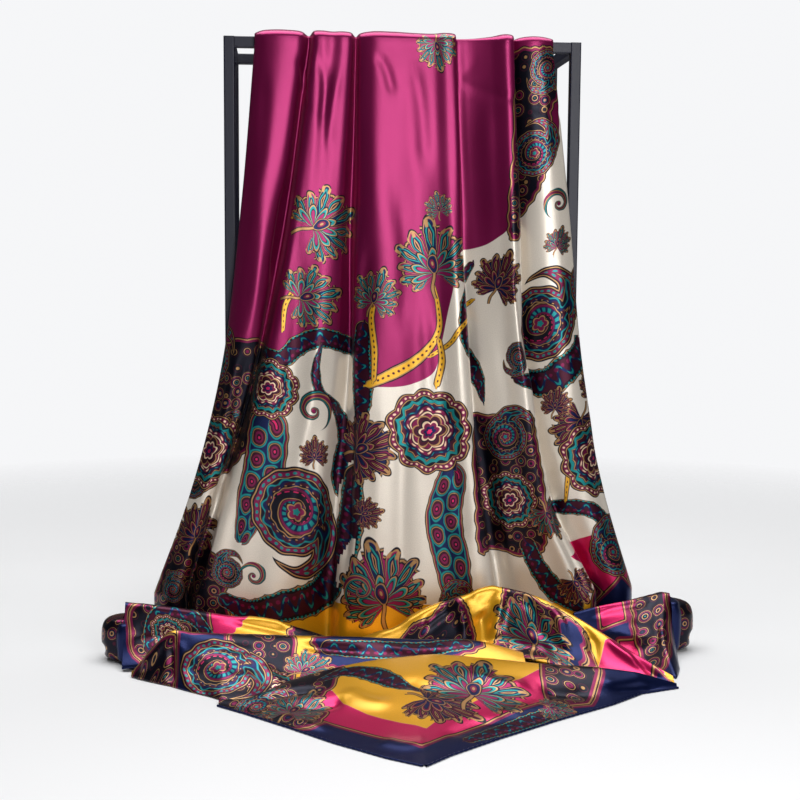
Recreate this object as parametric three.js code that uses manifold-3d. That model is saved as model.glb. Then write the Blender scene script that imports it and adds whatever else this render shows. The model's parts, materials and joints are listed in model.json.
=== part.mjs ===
// Silk square scarf draped over an open box-frame stand. Millimetres, +Z up.
// X runs to the right, Y runs away from the viewer, and the front of the stand faces -Y.
// The tables below measure from the middle of the stand's front plane on the floor.
import * as THREE from "three";
import { mergeVertices } from "three/addons/utils/BufferGeometryUtils.js";
import Module from "manifold-3d";

// Stand: square steel tube
const STAND_WIDTH = 400;
const STAND_DEPTH = 150;
const STAND_HEIGHT = 680;
const TUBE = 12;
const TUBE_CORNER = 1.5;

// Cloth
const CLOTH = 1.5;          // thickness of every cloth wall
const SEAM = 0.3;           // space between two stretches of cloth
const CLEAR = 0.4;          // space between the cloth and the stand
const HEM_RADIUS = 1.1;
const TURN_DROP = 8;        // how far the turn reaches down each side of the bar
const FALL_TOP = STAND_HEIGHT - TURN_DROP;
const TONGUE = 3;           // hidden layers under the foot of the front fall
const FALL_FOOT = TONGUE + SEAM;
const TURN_RISE = 2.2;      // how high the flattest stretch of the turn lies over the bar
const BACK_CORNER_HEIGHT = 120;
const BACK_SIDE_DROP = 60;  // how far the back fall hangs at its two sides
const BACK_PLEATS = 5;
const BACK_PLEAT_DEPTH = [8, 17];   // at the bar and at the hem
const WING_WIDTH = 125;     // how far each wing reaches in behind the front fall

// Heights of the columns of FALL_LINES, from the bar down
const FALL_LEVELS = [670, 500, 300, 160, 60];

// Lines that run down the front fall, left to right: x and depth in front of the
// stand at each level. A crest stands forward and a valley lies back.
const FALL_LINES = [
  { line: "left edge", x: [-166, -181, -207, -244, -281], depth: [5, 8, 10, 12, 15] },
  { line: "crest 1", x: [-136, -154, -187, -228, -263], depth: [13, 21, 27, 31, 34] },
  { line: "valley 1", x: [-103, -126, -165, -209, -241], depth: [5, 7, 9, 12, 16] },
  { line: "crest 2", x: [-84, -100, -121, -150, -173], depth: [12, 20, 30, 36, 40] },
  { line: "valley 2", x: [-54, -58, -62, -72, -82], depth: [5, 6, 9, 13, 18] },
  { line: "shoulder 3", x: [-44, -46, -50, -57, -65], depth: [13, 20, 27, 33, 38] },
  { line: "panel 3", x: [0, 4, 6, 9, 12], depth: [11, 17, 24, 30, 35] },
  { line: "crest 3", x: [49, 56, 66, 77, 90], depth: [13, 22, 32, 38, 42] },
  { line: "valley 3", x: [60, 69, 82, 96, 114], depth: [5, 8, 12, 17, 22] },
  { line: "crest 4", x: [114, 121, 134, 160, 208], depth: [12, 22, 32, 39, 44] },
  { line: "valley 4", x: [124, 132, 147, 175, 222], depth: [5, 7, 10, 14, 22] },
  { line: "crest 5", x: [146, 160, 182, 208, 246], depth: [10, 16, 22, 26, 31] },
  { line: "right edge", x: [167, 187, 209, 237, 268], depth: [5, 8, 10, 12, 16] },
];

// Folds of the pool from left to right: the crest, the foot in front of it and the
// foot behind it, each with its distance in front of the stand and its height.
const BACK_FOLD = [
  { x: -306, crest: 80, top: 65, front: 122, low: 5, back: 54, rear: 8 },
  { x: -204, crest: 80, top: 50, front: 122, low: 14, back: 54, rear: 12 },
  { x: -134, crest: 80, top: 38, front: 120, low: 13, back: 56, rear: 12 },
  { x: -95, crest: 82, top: 26, front: 120, low: 11, back: 58, rear: 11 },
  { x: -66, crest: 88, top: 17, front: 120, low: 9, back: 60, rear: 9 },
  { x: -36, crest: 93, top: 26, front: 124, low: 11, back: 60, rear: 10 },
  { x: 36, crest: 92, top: 60, front: 130, low: 13, back: 58, rear: 12 },
  { x: 108, crest: 88, top: 77, front: 133, low: 14, back: 56, rear: 12 },
  { x: 150, crest: 105, top: 67, front: 168, low: 14, back: 80, rear: 11 },
  { x: 179, crest: 125, top: 54, front: 190, low: 12, back: 106, rear: 9 },
  { x: 202, crest: 145, top: 42, front: 197, low: 9, back: 128, rear: 7 },
  { x: 238, crest: 175, top: 23, front: 202, low: 6, back: 161, rear: 5 },
  { x: 268, crest: 195, top: 8, front: 203, low: 3.5, back: 187, rear: 4 },
];
const MIDDLE_FOLD = [
  { x: -294, crest: 138, top: 5, front: 143, low: 2, back: 130, rear: 2 },
  { x: -275, crest: 143, top: 27, front: 159, low: 2, back: 130, rear: 5 },
  { x: -253, crest: 145, top: 49, front: 175, low: 2, back: 130, rear: 12 },
  { x: -227, crest: 145, top: 48, front: 198, low: 2, back: 130, rear: 14 },
  { x: -197, crest: 145, top: 46, front: 225, low: 2, back: 130, rear: 14 },
  { x: -168, crest: 145, top: 45, front: 227, low: 3, back: 129, rear: 14 },
  { x: -129, crest: 145, top: 43, front: 206, low: 6, back: 128, rear: 13 },
  { x: -71, crest: 145, top: 41, front: 194, low: 11, back: 128, rear: 10 },
  { x: 3, crest: 145, top: 37, front: 194, low: 13, back: 132, rear: 12 },
  { x: 73, crest: 146, top: 34, front: 194, low: 12, back: 136, rear: 14 },
  { x: 118, crest: 150, top: 22, front: 194, low: 9, back: 140, rear: 12 },
];
const CORNER_PANEL = [
  { x: -199, crest: 234, top: 4, front: 241, low: 1.6, back: 228, rear: 2.2 },
  { x: -172, crest: 243, top: 8, front: 266, low: 1.6, back: 230, rear: 3 },
  { x: -129, crest: 225, top: 19, front: 310, low: 1.6, back: 210, rear: 7 },
  { x: -89, crest: 216, top: 27, front: 353, low: 1.6, back: 203, rear: 10 },
  { x: -44, crest: 215, top: 35, front: 394, low: 1.6, back: 201, rear: 12 },
  { x: -13, crest: 215, top: 38, front: 416, low: 1.6, back: 201, rear: 13 },
  { x: 12, crest: 215, top: 40, front: 391, low: 1.6, back: 201, rear: 13 },
  { x: 63, crest: 215, top: 36, front: 350, low: 1.6, back: 201, rear: 12 },
  { x: 124, crest: 215, top: 29, front: 305, low: 1.6, back: 201, rear: 9 },
  { x: 189, crest: 217, top: 24, front: 261, low: 1.6, back: 206, rear: 8 },
  { x: 226, crest: 213, top: 17, front: 229, low: 1.6, back: 207, rear: 6 },
  { x: 268, crest: 210, top: 4.5, front: 213, low: 1.6, back: 207, rear: 3 },
];
const RIGHT_BAND = [
  { x: 188, crest: 76, top: 45, front: 104, low: 4, back: 56, rear: 9 },
  { x: 217, crest: 75, top: 52, front: 116, low: 4, back: 55, rear: 9 },
  { x: 254, crest: 75, top: 59, front: 150, low: 3, back: 55, rear: 9 },
  { x: 276, crest: 75, top: 64, front: 182, low: 2.5, back: 55, rear: 9 },
  { x: 288, crest: 76, top: 67, front: 152, low: 2.5, back: 55, rear: 9 },
  { x: 296, crest: 77, top: 66, front: 118, low: 2.5, back: 56, rear: 9 },
];

// Outline in plan of the hidden layers that lie flat under the folds: x and distance
// in front of the stand
const LAYER_OUTLINE = [
  { x: -281, out: 1 }, { x: -281, out: 52 }, { x: -300, out: 57 }, { x: -300, out: 114 },
  { x: -258, out: 121 }, { x: -225, out: 144 }, { x: -160, out: 158 }, { x: -115, out: 214 },
  { x: 184, out: 214 }, { x: 184, out: 88 }, { x: 288, out: 88 }, { x: 288, out: 57 },
  { x: 266, out: 50 }, { x: 266, out: 1 },
];

// Folded ends of the pool: the layers turn round in a lobe beyond each end
const END_LOBES = [
  { name: "scarf_left_folded_end", inner: -306.3, outer: -340, near: 92, far: 52, top: 49 },
  { name: "scarf_right_folded_end", inner: 296.3, outer: 326, near: 92, far: 48, top: 56 },
];

const CREST_COLUMNS = 4;    // columns of the front fall between two of its lines
const FALL_ROWS = 13;
const FOLD_ROWS = 9;
const FOLD_STEP = 26;

const steel = { color: 0x1c1c1e, roughness: 0.45, metalness: 0.2 };
const satin = { roughness: 0.32, metalness: 0 };
const MAGENTA = 0xb0306f;
const GOLD = 0xdeb846;
const PINK = 0xe12d87;
const NAVY = 0x23376f;

function mesh(name, geometry, look) {
  const body = new THREE.Mesh(geometry, new THREE.MeshStandardMaterial(look));
  body.name = name;
  return body;
}

// Smooth curve through values at rising stations
function along(stations, values, at) {
  const last = stations.length - 1;
  const rising = stations[last] > stations[0];
  const passed = (k) => (rising ? at > stations[k] : at < stations[k]);
  let i = 0;
  while (i < last - 1 && passed(i + 1)) i += 1;
  const span = stations[i + 1] - stations[i];
  const t = THREE.MathUtils.clamp((at - stations[i]) / span, 0, 1);
  const chord = (k) => (values[k + 1] - values[k]) / (stations[k + 1] - stations[k]);
  const slope = (k) => {
    if (k === 0) return chord(0);
    if (k === last) return chord(last - 1);
    const before = chord(k - 1);
    const after = chord(k);
    return before * after <= 0 ? 0 : (2 * before * after) / (before + after);
  };
  const a = slope(i) * span;
  const b = slope(i + 1) * span;
  const rise = values[i + 1] - values[i];
  return values[i] + a * t + (3 * rise - 2 * a - b) * t * t + (a + b - 2 * rise) * t ** 3;
}

// Value of a named column of a table at x: the front foot runs straight from row to
// row, as a hem does, and the rest curves smoothly
function column(table, key, x) {
  const stations = table.map((row) => row.x);
  const values = table.map((row) => row[key]);
  if (key !== "front") return along(stations, values, x);
  const next = THREE.MathUtils.clamp(stations.findIndex((s) => s > x), 1, table.length - 1);
  const i = x >= stations[table.length - 1] ? table.length - 1 : next;
  const t = (x - stations[i - 1]) / (stations[i] - stations[i - 1]);
  return THREE.MathUtils.lerp(values[i - 1], values[i], t);
}

// Normals of a grid of points whose rows run down and whose columns run to the right
function gridNormals(grid) {
  const rows = grid.length;
  const cols = grid[0].length;
  return grid.map((row, r) => row.map((_, c) => {
    const down = grid[Math.min(r + 1, rows - 1)][c].clone().sub(grid[Math.max(r - 1, 0)][c]);
    const across = row[Math.min(c + 1, cols - 1)].clone().sub(row[Math.max(c - 1, 0)]);
    return down.cross(across).normalize();
  }));
}

// Closed body between two grids of the same shape, the first on its outer side
function between(outer, inner) {
  const rows = outer.length;
  const cols = outer[0].length;
  const points = [...outer.flat(), ...inner.flat()];
  const faces = [];
  const front = (r, c) => r * cols + c;
  const rear = (r, c) => rows * cols + r * cols + c;
  const quad = (a, b, c, d) => faces.push(a, b, c, a, c, d);
  for (let r = 0; r < rows - 1; r += 1) {
    for (let c = 0; c < cols - 1; c += 1) {
      quad(front(r, c), front(r + 1, c), front(r + 1, c + 1), front(r, c + 1));
      quad(rear(r, c), rear(r, c + 1), rear(r + 1, c + 1), rear(r + 1, c));
    }
    quad(front(r + 1, 0), front(r, 0), rear(r, 0), rear(r + 1, 0));
    quad(front(r, cols - 1), front(r + 1, cols - 1), rear(r + 1, cols - 1), rear(r, cols - 1));
  }
  for (let c = 0; c < cols - 1; c += 1) {
    quad(front(0, c), front(0, c + 1), rear(0, c + 1), rear(0, c));
    quad(front(rows - 1, c + 1), front(rows - 1, c), rear(rows - 1, c), rear(rows - 1, c + 1));
  }
  const geometry = new THREE.BufferGeometry();
  geometry.setAttribute(
    "position",
    new THREE.Float32BufferAttribute(points.flatMap((p) => [p.x, p.y, p.z]), 3),
  );
  geometry.setIndex(faces);
  geometry.computeVertexNormals();
  return geometry;
}

// Grid moved along its normals, away from its outer side, never below the floor
function movedIn(grid, distance) {
  const normals = gridNormals(grid);
  return grid.map((row, r) => row.map((point, c) => {
    const moved = point.clone().addScaledVector(normals[r][c], -distance);
    moved.z = Math.max(moved.z, 0);
    return moved;
  }));
}

function wall(grid) {
  return between(grid, movedIn(grid, CLOTH));
}

// Stand

function bar(name, length, placeAlong) {
  const half = TUBE / 2;
  const flat = half - TUBE_CORNER;
  const section = new THREE.Shape();
  section.moveTo(half, -flat);
  section.absarc(flat, flat, TUBE_CORNER, 0, Math.PI / 2);
  section.absarc(-flat, flat, TUBE_CORNER, Math.PI / 2, Math.PI);
  section.absarc(-flat, -flat, TUBE_CORNER, Math.PI, 1.5 * Math.PI);
  section.absarc(flat, -flat, TUBE_CORNER, 1.5 * Math.PI, 2 * Math.PI);
  const geometry = new THREE.ExtrudeGeometry(section, {
    depth: length, bevelEnabled: false, curveSegments: 2,
  });
  placeAlong(geometry);
  return mesh(name, geometry, steel);
}

function stand() {
  const frame = new THREE.Group();
  const side = STAND_WIDTH / 2 - TUBE / 2;
  const ends = { front: TUBE / 2, back: STAND_DEPTH - TUBE / 2 };
  const levels = { top: STAND_HEIGHT - TUBE / 2, bottom: TUBE / 2 };
  for (const [end, y] of Object.entries(ends)) {
    for (const [hand, x] of [["left", -side], ["right", side]]) {
      frame.add(bar(`stand_${end}_${hand}_post`, STAND_HEIGHT, (g) => g.translate(x, y, 0)));
    }
    for (const [level, z] of Object.entries(levels)) {
      frame.add(bar(`stand_${level}_${end}_bar`, STAND_WIDTH - 2 * TUBE, (g) => {
        g.rotateY(Math.PI / 2).translate(TUBE - STAND_WIDTH / 2, y, z);
      }));
    }
  }
  for (const [hand, x] of [["left", -side], ["right", side]]) {
    for (const [level, z] of Object.entries(levels)) {
      frame.add(bar(`stand_${level}_${hand}_bar`, STAND_DEPTH - 2 * TUBE, (g) => {
        g.rotateX(-Math.PI / 2).translate(x, TUBE, z);
      }));
    }
  }
  return frame;
}

// Scarf

// Points across the front fall at a height, rounded over each crest and valley
function fallSection(z) {
  const at = FALL_LINES.map((line) => ({
    x: along(FALL_LEVELS, line.x, z),
    depth: along(FALL_LEVELS, line.depth, z),
  }));
  const points = [];
  for (let i = 0; i < at.length - 1; i += 1) {
    for (let k = 0; k < CREST_COLUMNS; k += 1) {
      const t = k / CREST_COLUMNS;
      const turn = (1 - Math.cos(Math.PI * t)) / 2;
      const x = THREE.MathUtils.lerp(at[i].x, at[i + 1].x, t);
      points.push({ x, depth: THREE.MathUtils.lerp(at[i].depth, at[i + 1].depth, turn) });
    }
  }
  points.push(at[at.length - 1]);
  return points;
}

function frontFall() {
  const grid = [];
  for (let r = 0; r < FALL_ROWS; r += 1) {
    const z = THREE.MathUtils.lerp(FALL_TOP - SEAM, FALL_FOOT, r / (FALL_ROWS - 1));
    grid.push(fallSection(z).map((p) => new THREE.Vector3(p.x, -p.depth, z)));
  }
  const inner = grid.map((row) => row.map((p) => new THREE.Vector3(p.x, p.y + CLOTH, p.z)));
  return mesh("scarf_front_fall", between(grid, inner), { ...satin, color: MAGENTA });
}

// A wing of the square turned in behind the front fall, from its fold edge inwards
function wing(name, hand) {
  const rows = 9;
  const cols = 7;
  const edge = FALL_LINES[hand < 0 ? 0 : FALL_LINES.length - 1];
  const grid = [];
  for (let r = 0; r < rows; r += 1) {
    const z = THREE.MathUtils.lerp(STAND_HEIGHT - TUBE_CORNER, FALL_FOOT, r / (rows - 1));
    const edgeX = Math.abs(along(FALL_LEVELS, edge.x, z)) - SEAM;
    const room = along(FALL_LEVELS, edge.depth, z) - CLOTH - SEAM;
    const row = [];
    for (let c = 0; c < cols; c += 1) {
      const t = c / (cols - 1);
      const fade = (1 - t) ** 2;
      const depth = THREE.MathUtils.lerp(CLOTH + CLEAR, room, fade);
      row.push(new THREE.Vector3(hand * (edgeX - WING_WIDTH * t), -depth, z));
    }
    grid.push(hand < 0 ? row : row.reverse());
  }
  const inner = grid.map((row) => row.map((p) => new THREE.Vector3(p.x, p.y + CLOTH, p.z)));
  return mesh(name, between(grid, inner), { ...satin, color: MAGENTA });
}

// How far the cloth stands off the bar behind it, for a column x of the turn
function backLift(x, depth) {
  const u = x / FALL_LINES[FALL_LINES.length - 1].x[0];
  const wave = (1 + Math.cos(Math.PI * BACK_PLEATS * (u + 1))) / 2;
  return CLOTH + CLEAR + 2 + depth * wave;
}

// The stretch that lies over the front top bar, lifted where each pleat crosses it
function barTurn() {
  const section = fallSection(FALL_TOP);
  const flattest = FALL_LINES[0].depth[0];
  const high = STAND_HEIGHT - TUBE_CORNER;
  const arcSteps = 3;
  const path = (p, inset) => {
    const front = p.depth - inset;
    const back = backLift(p.x, BACK_PLEAT_DEPTH[0]) - inset;
    const rise = TURN_RISE + 0.5 * (p.depth - flattest) - inset + TUBE_CORNER;
    const points = [[-front, FALL_TOP]];
    for (let k = 0; k <= arcSteps; k += 1) {
      const angle = (Math.PI / 2) * (k / arcSteps);
      const y = TUBE_CORNER - (TUBE_CORNER + front) * Math.cos(angle);
      points.push([y, high + rise * Math.sin(angle)]);
    }
    for (let k = 0; k <= arcSteps; k += 1) {
      const angle = (Math.PI / 2) * (1 - k / arcSteps);
      const y = TUBE - TUBE_CORNER + (TUBE_CORNER + back) * Math.cos(angle);
      points.push([y, high + rise * Math.sin(angle)]);
    }
    points.push([TUBE + back, FALL_TOP]);
    return points.reverse().map(([y, z]) => new THREE.Vector3(p.x, y, z));
  };
  const turned = (inset) => {
    const paths = section.map((p) => path(p, inset));
    return paths[0].map((_, r) => paths.map((points) => points[r]));
  };
  return mesh("scarf_bar_turn", between(turned(0), turned(CLOTH)), { ...satin, color: MAGENTA });
}

// Back corner of the square: cascade folds hang behind the bar to a point
function backFallGrid() {
  const rows = 9;
  const section = fallSection(FALL_TOP).reverse();
  const widest = FALL_LINES[FALL_LINES.length - 1].x[0];
  return Array.from({ length: rows }, (_, r) => section.map((p) => {
    const drop = r / (rows - 1);
    const u = Math.min(1, Math.abs(p.x) / widest);
    const hemHeight = THREE.MathUtils.lerp(BACK_CORNER_HEIGHT, FALL_TOP - BACK_SIDE_DROP, u);
    const z = THREE.MathUtils.lerp(FALL_TOP - SEAM, hemHeight, drop);
    const narrow = 1 - 0.35 * drop * (1 - u);
    const lift = backLift(p.x, THREE.MathUtils.lerp(...BACK_PLEAT_DEPTH, drop));
    return new THREE.Vector3(p.x * narrow, TUBE + lift + 4 * drop, z);
  }));
}

function backFall() {
  const grid = backFallGrid();
  const inner = grid.map((row) => row.map((p) => new THREE.Vector3(p.x, p.y - CLOTH, p.z)));
  return mesh("scarf_back_fall", between(grid, inner), { ...satin, color: MAGENTA });
}

// Profile of a fold at x, from the foot behind its crest to the foot in front
function foldProfile(table, x) {
  const at = Object.fromEntries(
    Object.keys(table[0]).map((key) => [key, key === "x" ? x : column(table, key, x)]),
  );
  const reach = at.front - at.crest;
  const knots = new THREE.CatmullRomCurve3([
    [at.back, at.rear],
    [at.crest - 0.35 * (at.crest - at.back), at.rear + 0.82 * (at.top - at.rear)],
    [at.crest, at.top],
    [at.crest + 0.22 * reach, at.low + 0.8 * (at.top - at.low)],
    [at.crest + 0.6 * reach, at.low + 0.3 * (at.top - at.low)],
    [at.front, at.low],
  ].map(([depth, z]) => new THREE.Vector3(x, -depth, z)));
  return Array.from({ length: FOLD_ROWS }, (_, k) => knots.getPoint(k / (FOLD_ROWS - 1)));
}

// Stations along a fold: each row of its table, with even steps in between
function stations(table) {
  const list = [table[0].x];
  for (let i = 1; i < table.length; i += 1) {
    const from = table[i - 1].x;
    const span = table[i].x - from;
    const steps = Math.max(1, Math.round(span / FOLD_STEP));
    for (let k = 1; k <= steps; k += 1) list.push(from + (span * k) / steps);
  }
  return list;
}

function foldGrid(table) {
  const profiles = stations(table).map((x) => foldProfile(table, x));
  return Array.from({ length: FOLD_ROWS }, (_, r) => profiles.map((profile) => profile[r]));
}



function foldWall(name, table, color) {
  return mesh(name, wall(foldGrid(table)), { ...satin, color });
}

// Body under a fold, down to the floor, clear of the fold's wall
function core(table, firstRow, lastRow, firstCol, lastCol) {
  const roof = movedIn(foldGrid(table), CLOTH + CLEAR)
    .slice(firstRow, lastRow)
    .map((row) => row.slice(firstCol, row.length + lastCol));
  const floor = roof.map((row) => row.map((p) => new THREE.Vector3(p.x, p.y, 0)));
  return between(roof, floor);
}

// The hidden layers of the pool: one body, rounded under each fold and flat beneath
async function poolLayers() {
  const wasm = await Module();
  wasm.setup();
  const solid = (geometry) => {
    const bare = geometry.clone();
    bare.deleteAttribute("normal");
    bare.deleteAttribute("uv");
    const merged = mergeVertices(bare);
    return new wasm.Manifold(new wasm.Mesh({
      numProp: 3,
      vertProperties: new Float32Array(merged.attributes.position.array),
      triVerts: new Uint32Array(merged.index.array),
    }));
  };
  const outline = new THREE.Shape(LAYER_OUTLINE.map((p) => new THREE.Vector2(p.x, -p.out)));
  const flat = new THREE.ExtrudeGeometry(outline, { depth: TONGUE, bevelEnabled: false });
  const joined = [
    core(BACK_FOLD, 1, -1, 0, -1),
    core(MIDDLE_FOLD, 1, -1, 1, 0),
    core(CORNER_PANEL, 1, -1, 2, -1),
    core(RIGHT_BAND, 1, -1, 0, -1),
  ].reduce((sum, body) => sum.add(solid(body)), solid(flat)).getMesh();
  const geometry = new THREE.BufferGeometry();
  geometry.setAttribute("position", new THREE.BufferAttribute(joined.vertProperties, 3));
  geometry.setIndex(new THREE.BufferAttribute(joined.triVerts, 1));
  geometry.computeVertexNormals();
  return mesh("scarf_pool_layers", geometry, { ...satin, color: NAVY });
}

// A lobe in which the layers turn round, flat towards the pool and round outwards
function endLobe({ name, inner, outer, near, far, top }) {
  const bevel = 5;
  const out = Math.sign(outer);
  const reach = Math.abs(outer - inner) - bevel;
  const half = top / 2 - bevel;
  const outline = new THREE.Shape();
  outline.moveTo(0, -half);
  outline.bezierCurveTo(1.25 * reach, -half, 1.25 * reach, half, 0, half);
  outline.closePath();
  const geometry = new THREE.ExtrudeGeometry(outline, {
    depth: near - far - 2 * bevel,
    bevelThickness: bevel,
    bevelSize: bevel,
    bevelSegments: 2,
    curveSegments: 10,
  });
  geometry.rotateX(Math.PI / 2);
  if (out < 0) geometry.rotateZ(Math.PI);
  geometry.computeBoundingBox();
  const box = geometry.boundingBox;
  geometry.translate(
    out < 0 ? inner - box.max.x : inner - box.min.x,
    -far - box.max.y,
    -box.min.z,
  );
  return mesh(name, geometry, { ...satin, color: NAVY });
}

// Rolled hem just beyond an edge of cloth, which is seen flat from one side
function hem(name, edge, facing, steps) {
  const off = HEM_RADIUS + 2 * SEAM;
  const line = edge.map((point, i) => {
    const before = edge[Math.max(i - 1, 0)];
    const after = edge[Math.min(i + 1, edge.length - 1)];
    const out = after.clone().sub(before).cross(facing).normalize();
    return point.clone().addScaledVector(out, off);
  });
  const section = new THREE.Shape();
  section.absarc(0, 0, HEM_RADIUS, 0, 2 * Math.PI);
  const geometry = new THREE.ExtrudeGeometry(section, {
    steps, curveSegments: 3, extrudePath: new THREE.CatmullRomCurve3(line), bevelEnabled: false,
  });
  return mesh(name, geometry, { ...satin, color: NAVY });
}

function hems() {
  const up = new THREE.Vector3(0, 0, 1);
  const towards = new THREE.Vector3(0, -1, 0);
  const tip = CORNER_PANEL.reduce((a, b) => (b.front > a.front ? b : a)).x;
  const front = foldGrid(CORNER_PANEL)[FOLD_ROWS - 1].map((p) => p.clone().setZ(HEM_RADIUS));
  const back = backFallGrid().pop().map((p) => p.setY(p.y - CLOTH / 2)).reverse();
  const lowest = back.reduce((a, b) => (b.z < a.z ? b : a)).x;
  return [
    hem("scarf_front_left_hem", front.filter((p) => p.x <= tip), up, 12),
    hem("scarf_front_right_hem", front.filter((p) => p.x >= tip), up, 14),
    hem("scarf_back_left_hem", back.filter((p) => p.x <= lowest), towards, 24),
    hem("scarf_back_right_hem", back.filter((p) => p.x >= lowest), towards, 24),
  ];
}

const part = new THREE.Group();
part.add(stand());
part.add(frontFall());
part.add(wing("scarf_left_wing", -1));
part.add(wing("scarf_right_wing", 1));
part.add(barTurn());
part.add(backFall());
part.add(foldWall("scarf_back_fold", BACK_FOLD, GOLD));
part.add(foldWall("scarf_middle_fold", MIDDLE_FOLD, NAVY));
part.add(foldWall("scarf_corner_panel", CORNER_PANEL, PINK));
part.add(foldWall("scarf_right_band", RIGHT_BAND, NAVY));
part.add(await poolLayers());
END_LOBES.forEach((lobe) => part.add(endLobe(lobe)));
part.add(...hems());

// The origin is the middle of the part's footprint, on the floor
const footprint = new THREE.Box3().setFromObject(part).getCenter(new THREE.Vector3());
part.position.set(-footprint.x, -footprint.y, 0);

export default part;
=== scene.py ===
"""Printed silk square draped over an open box-frame stand and pooled on the floor.

Sizes in the tables are millimetres, measured from the middle of the stand's front
plane on the floor: x to the right, depth towards the viewer, z up. The meshes are in
metres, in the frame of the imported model.
"""
import json
import logging
import math
from dataclasses import dataclass, field
from enum import Enum
from typing import Callable, Sequence, Union

import bpy
import numpy as np
from mathutils import Matrix, Vector

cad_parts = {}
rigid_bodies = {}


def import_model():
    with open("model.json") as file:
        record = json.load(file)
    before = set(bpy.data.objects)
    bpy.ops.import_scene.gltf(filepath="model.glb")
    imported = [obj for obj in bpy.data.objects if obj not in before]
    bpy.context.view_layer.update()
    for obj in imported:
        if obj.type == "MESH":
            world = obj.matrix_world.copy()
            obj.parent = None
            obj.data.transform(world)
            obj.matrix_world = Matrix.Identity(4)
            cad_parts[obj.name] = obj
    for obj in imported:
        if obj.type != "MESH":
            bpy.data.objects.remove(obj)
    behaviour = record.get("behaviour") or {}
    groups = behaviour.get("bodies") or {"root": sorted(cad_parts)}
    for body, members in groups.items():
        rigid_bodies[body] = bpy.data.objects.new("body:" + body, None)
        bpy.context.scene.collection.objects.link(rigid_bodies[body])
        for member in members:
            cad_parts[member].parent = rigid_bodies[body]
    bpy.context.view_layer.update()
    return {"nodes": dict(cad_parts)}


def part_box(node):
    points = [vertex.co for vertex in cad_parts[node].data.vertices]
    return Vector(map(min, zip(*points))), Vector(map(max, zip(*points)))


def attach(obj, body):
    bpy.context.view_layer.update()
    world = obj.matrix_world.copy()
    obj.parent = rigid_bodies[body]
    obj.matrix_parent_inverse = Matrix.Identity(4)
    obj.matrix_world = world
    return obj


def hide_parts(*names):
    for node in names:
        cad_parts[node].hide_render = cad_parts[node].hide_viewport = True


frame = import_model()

log = logging.getLogger("scarf")
Array = np.ndarray
Colour = tuple[float, float, float]

MM = 0.001
PIECE_BODY = "root"


def stand_origin() -> Array:
    """Gives the middle of the stand's front plane on the floor, in metres."""
    left_low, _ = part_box("stand_front_left_post")
    _, right_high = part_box("stand_front_right_post")
    return np.array([(left_low[0] + right_high[0]) / 2, left_low[1], 0.0])


ORIGIN = stand_origin()
STAND_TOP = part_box("stand_top_front_bar")[1][2] / MM
BAR = STAND_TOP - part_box("stand_top_front_bar")[0][2] / MM


def srgb(red: int, green: int, blue: int) -> Colour:
    """Turns a colour of 0 to 255 a channel into linear light.

    Args:
        red, green, blue: the colour's channels.

    Returns:
        The channels as linear values from 0 to 1.
    """
    def linear(value: int) -> float:
        """Undoes the display curve for one channel."""
        share = value / 255
        return share / 12.92 if share <= 0.04045 else ((share + 0.055) / 1.055) ** 2.4
    return linear(red), linear(green), linear(blue)


class Dye(Enum):
    """The dyes of the print, in linear light."""

    MAGENTA = srgb(140, 14, 82)
    CREAM = srgb(232, 222, 208)
    GOLD = srgb(234, 172, 20)
    PINK = srgb(206, 6, 92)
    NAVY = srgb(12, 26, 74)
    INK = srgb(14, 14, 30)
    TEAL = srgb(14, 132, 134)
    PLUM = srgb(116, 12, 66)
    MAROON = srgb(64, 10, 36)
    TAN = srgb(172, 128, 78)
    PEACH = srgb(240, 205, 172)


# Smooth curves and meshes


def smooth(knots: Sequence[float], values: Array, at: Array) -> Array:
    """Runs a smooth curve through values at uneven knots.

    Args:
        knots: rising positions of the values.
        values: one row for each knot.
        at: positions to read, held within the knots.

    Returns:
        One row for each position.
    """
    knots = np.asarray(knots, float)
    values = np.asarray(values, float)
    flat = values.reshape(len(knots), -1)
    slopes = np.gradient(flat, knots, axis=0) if len(knots) > 2 else np.zeros_like(flat)
    if len(knots) == 2:
        slopes[:] = (flat[1] - flat[0]) / (knots[1] - knots[0])
    at = np.clip(np.asarray(at, float), knots[0], knots[-1])
    i = np.clip(np.searchsorted(knots, at, side="right") - 1, 0, len(knots) - 2)
    span = (knots[i + 1] - knots[i])[:, None]
    t = ((at - knots[i])[:, None]) / span
    rise = flat[i + 1] - flat[i]
    a, b = slopes[i] * span, slopes[i + 1] * span
    out = flat[i] + a * t + (3 * rise - 2 * a - b) * t**2 + (a + b - 2 * rise) * t**3
    return out.reshape((len(at),) + values.shape[1:])


def lengths(points: Array, axis: int) -> Array:
    """Adds up the distance walked along a grid of points.

    Args:
        points: grid of points, rows by columns by 3.
        axis: 0 to walk down the rows, 1 to walk along the columns.

    Returns:
        Distance from the first row or column to each point.
    """
    steps = np.linalg.norm(np.diff(points, axis=axis), axis=2)
    first = np.zeros_like(np.take(steps, [0], axis=axis))
    return np.concatenate([first, np.cumsum(steps, axis=axis)], axis=axis)


def placed(points: Array) -> Array:
    """Turns table points (x, depth, z in mm) into metres in the model's frame."""
    turned = np.stack([points[..., 0], -points[..., 1], points[..., 2]], -1)
    return turned * MM + ORIGIN


class Zone(Enum):
    """The print's plain zones. Each has a channel of depths, and later patches cover earlier ones."""

    GOLD = 0
    PINK = 1
    MAGENTA = 2
    NAVY = 3
    FILLER = 4
    CREAM = 5


ZONE_MAPS = ("zones_a", "zones_b")
# Depths inside and outside a zone's outline are kept up to this far from it, in metres
ZONE_REACH = 0.012


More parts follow.
